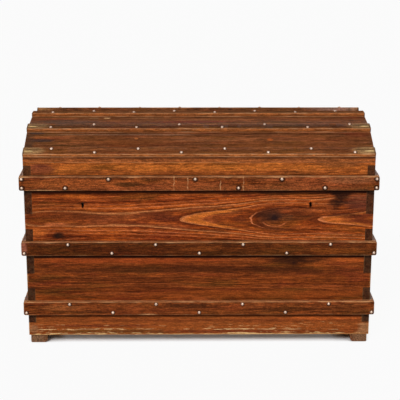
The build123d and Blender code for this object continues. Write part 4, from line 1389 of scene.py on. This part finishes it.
class TRUNK_OT_base(bpy.types.Operator):
    """Finish the bottom boards and the skids"""

    bl_idname = "trunk.base"
    bl_label = "Bottom and skids"

    def execute(self, context):
        trunk = context.scene.trunk
        for index in (1, 2, 3):
            node = f"bottom_board_{index}"
            dress(node, pine(f"{node}_pine", Board(node, UP), trunk.bare, 0.6 * index, end=0.2, rough=0.6))
        for index, side in enumerate(("left", "right")):
            node = f"{side}_skid"
            look = {
                "wear": 0.0012,
                "rub": 0.4,
                "specks": 0.4,
                "rough": 0.6,
                "end": 0.25,
                "blots": [(*WHOLE_BOARD, (144, 108, 80), 0.75)],
            }
            dress(node, pine(f"{node}_pine", Board(node, SIDES[side]), trunk.slat, 2.2 + index, **look))
        return {"FINISHED"}


class TRUNK_OT_metalwork(bpy.types.Operator):
    """Finish the nails, screws, hinges, locks and handles"""

    bl_idname = "trunk.metalwork"
    bl_label = "Metalwork"

    def execute(self, context):
        metals = context.scene.trunk.metals
        domes = [*SIDES.values(), *(top_face(node) for node in slat_names)]
        nail_grease = stain(120, 92, 66)
        brass_grease = stain(84, 66, 36)
        # The nails of the ridge and crest slats are duller than the ones below
        dulled = (0.586, 0.606, 0.45, stain(150, 101, 68))
        nail = {"rough": 0.34, "spots": 0.03, "shine": 0.4, "domes": domes, "dulled": dulled}
        materials = {
            "nail_steel": metal("nail_steel", metals.nail, nail_grease, **nail),
            "dark_iron": metal("dark_iron", metals.iron, metals.rust, rough=0.5, spots=0.08, shine=0.8),
            "lock_steel": metal("lock_steel", metals.steel, metals.rust, rough=0.45, spots=0.05),
            "lock_brass": metal("dull_brass", metals.brass, brass_grease, rough=0.4, spots=0.05),
        }
        for record in frame["record"]["subparts"]:
            if record["material_slot"] in materials:
                dress(record["node"], materials[record["material_slot"]])
        return {"FINISHED"}


class TRUNK_OT_stage(bpy.types.Operator):
    """Set up the camera, the floor and plain soft light"""

    bl_idname = "trunk.stage"
    bl_label = "Stage"

    def execute(self, context):
        stage = context.scene.trunk.stage
        context.scene.view_settings.view_transform = "Standard"
        self.camera(context, stage)
        self.floor(stage)
        self.sky(context, stage)
        self.lamp("key", stage.key, radians(25), Vector((-0.4, -1.0, 0.9)))
        self.lamp("fill", stage.fill, radians(80), Vector((0.8, -0.8, 0.5)))
        self.lamp("back", stage.back, radians(60), Vector((0.3, 1.0, 0.12)))
        return {"FINISHED"}

    def camera(self, context, stage):
        """A camera where the photograph was taken from."""
        pitch, yaw, roll = stage.pitch, stage.yaw, stage.roll
        ahead = Vector((sin(yaw) * cos(pitch), cos(yaw) * cos(pitch), -sin(pitch)))
        level = Vector((cos(yaw), -sin(yaw), 0))
        right = level * cos(roll) + level.cross(ahead) * sin(roll)
        turn = Matrix((right, right.cross(ahead), -ahead)).transposed()
        data = bpy.data.cameras.new("camera")
        data.lens = stage.lens
        data.sensor_width = 36
        camera = bpy.data.objects.new("camera", data)
        camera.matrix_world = Matrix.Translation(stage.camera) @ turn.to_4x4()
        context.scene.collection.objects.link(camera)
        context.scene.camera = camera

    def floor(self, stage):
        """A wide pale floor, just below the skids, that keeps a light shadow."""
        wide, drop = 160, 0.0002
        deselect()
        bpy.ops.mesh.primitive_plane_add(size=wide, location=(0, 0, -drop))
        floor = bpy.context.object
        floor.name = "floor"
        material, n, shader = new_material("pale_floor")
        shader.inputs["Base Color"].default_value = solid(stage.floor)
        shader.inputs["Roughness"].default_value = 1.0
        shader.inputs["Specular IOR Level"].default_value = 0.0
        glow = n.put("ShaderNodeEmission", {"Color": solid(stain(252, 252, 252)), "Strength": 1.0})
        seen = n.put("ShaderNodeLightPath", {}).outputs["Is Camera Ray"]
        openness = n.put("ShaderNodeAmbientOcclusion", {"Distance": 0.055}, samples=16).outputs["AO"]
        share_seen = n.times(seen, n.ease(openness, 0.22, 0.62, 0.0, 0.97))
        mixed = n.put("ShaderNodeMixShader", {0: share_seen, 1: shader.outputs[0], 2: glow.outputs[0]})
        n.feed(material.node_tree.nodes["Material Output"].inputs[0], mixed.outputs[0])
        floor.data.materials.append(material)

    def sky(self, context, stage):
        """White to the camera and in reflections, softer as light."""
        world = bpy.data.worlds.new("sky")
        world.use_nodes = True
        context.scene.world = world
        n = Nodes(world.node_tree)
        background = world.node_tree.nodes["Background"]
        path = n.put("ShaderNodeLightPath", {})
        seen = n.math("MAXIMUM", path.outputs["Is Camera Ray"], path.outputs["Is Glossy Ray"])
        seen = n.math("MAXIMUM", seen, path.outputs["Is Transmission Ray"])
        background.inputs["Color"].default_value = solid((1.0, 1.0, 1.0))
        n.feed(background.inputs["Strength"], n.ease(seen, 0.0, 1.0, stage.sky, 1.0))

    def lamp(self, name, strength, spread, source):
        """A broad soft light from far off."""
        data = bpy.data.lights.new(name, "SUN")
        data.energy = strength
        data.angle = spread
        lamp = bpy.data.objects.new(name, data)
        lamp.rotation_euler = source.to_track_quat("Z", "Y").to_euler()
        bpy.context.scene.collection.objects.link(lamp)


class TRUNK_PT_panel(bpy.types.Panel):
    """The steps that dress the trunk, in order"""

    bl_label = "Wooden Trunk"
    bl_space_type = "VIEW_3D"
    bl_region_type = "UI"
    bl_category = "Trunk"

    def draw(self, context):
        column = self.layout.column(align=True)
        for step in STEPS:
            column.operator(step.bl_idname)
        for group in ("edges", "stage", "metals"):
            settings = getattr(context.scene.trunk, group)
            box = self.layout.box()
            for name in settings.__annotations__:
                box.prop(settings, name)


STEPS = (
    TRUNK_OT_walls,
    TRUNK_OT_battens,
    TRUNK_OT_slats,
    TRUNK_OT_lid_boards,
    TRUNK_OT_base,
    TRUNK_OT_metalwork,
    TRUNK_OT_stage,
)
GROUPS = (
    WallStain,
    LowerStain,
    RimStain,
    RoofStain,
    SlatStain,
    BattenStain,
    BareWood,
    Metals,
    WornEdges,
    Stage,
    TrunkSettings,
)


def register():
    """Make the settings, operators and panel known."""
    for item in (*GROUPS, *STEPS, TRUNK_PT_panel):
        bpy.utils.register_class(item)
    bpy.types.Scene.trunk = PointerProperty(type=TrunkSettings)


def unregister():
    """Forget the settings, operators and panel."""
    del bpy.types.Scene.trunk
    for item in reversed((*GROUPS, *STEPS, TRUNK_PT_panel)):
        bpy.utils.unregister_class(item)


def main():
    """Dress the trunk and note its size before and after."""
    register()
    build_groups()
    bpy.ops.trunk.walls()
    bpy.ops.trunk.battens()
    bpy.ops.trunk.slats()
    bpy.ops.trunk.lid_boards()
    bpy.ops.trunk.base()
    bpy.ops.trunk.metalwork()
    bpy.ops.trunk.stage()


if __name__ == "__main__":
    main()
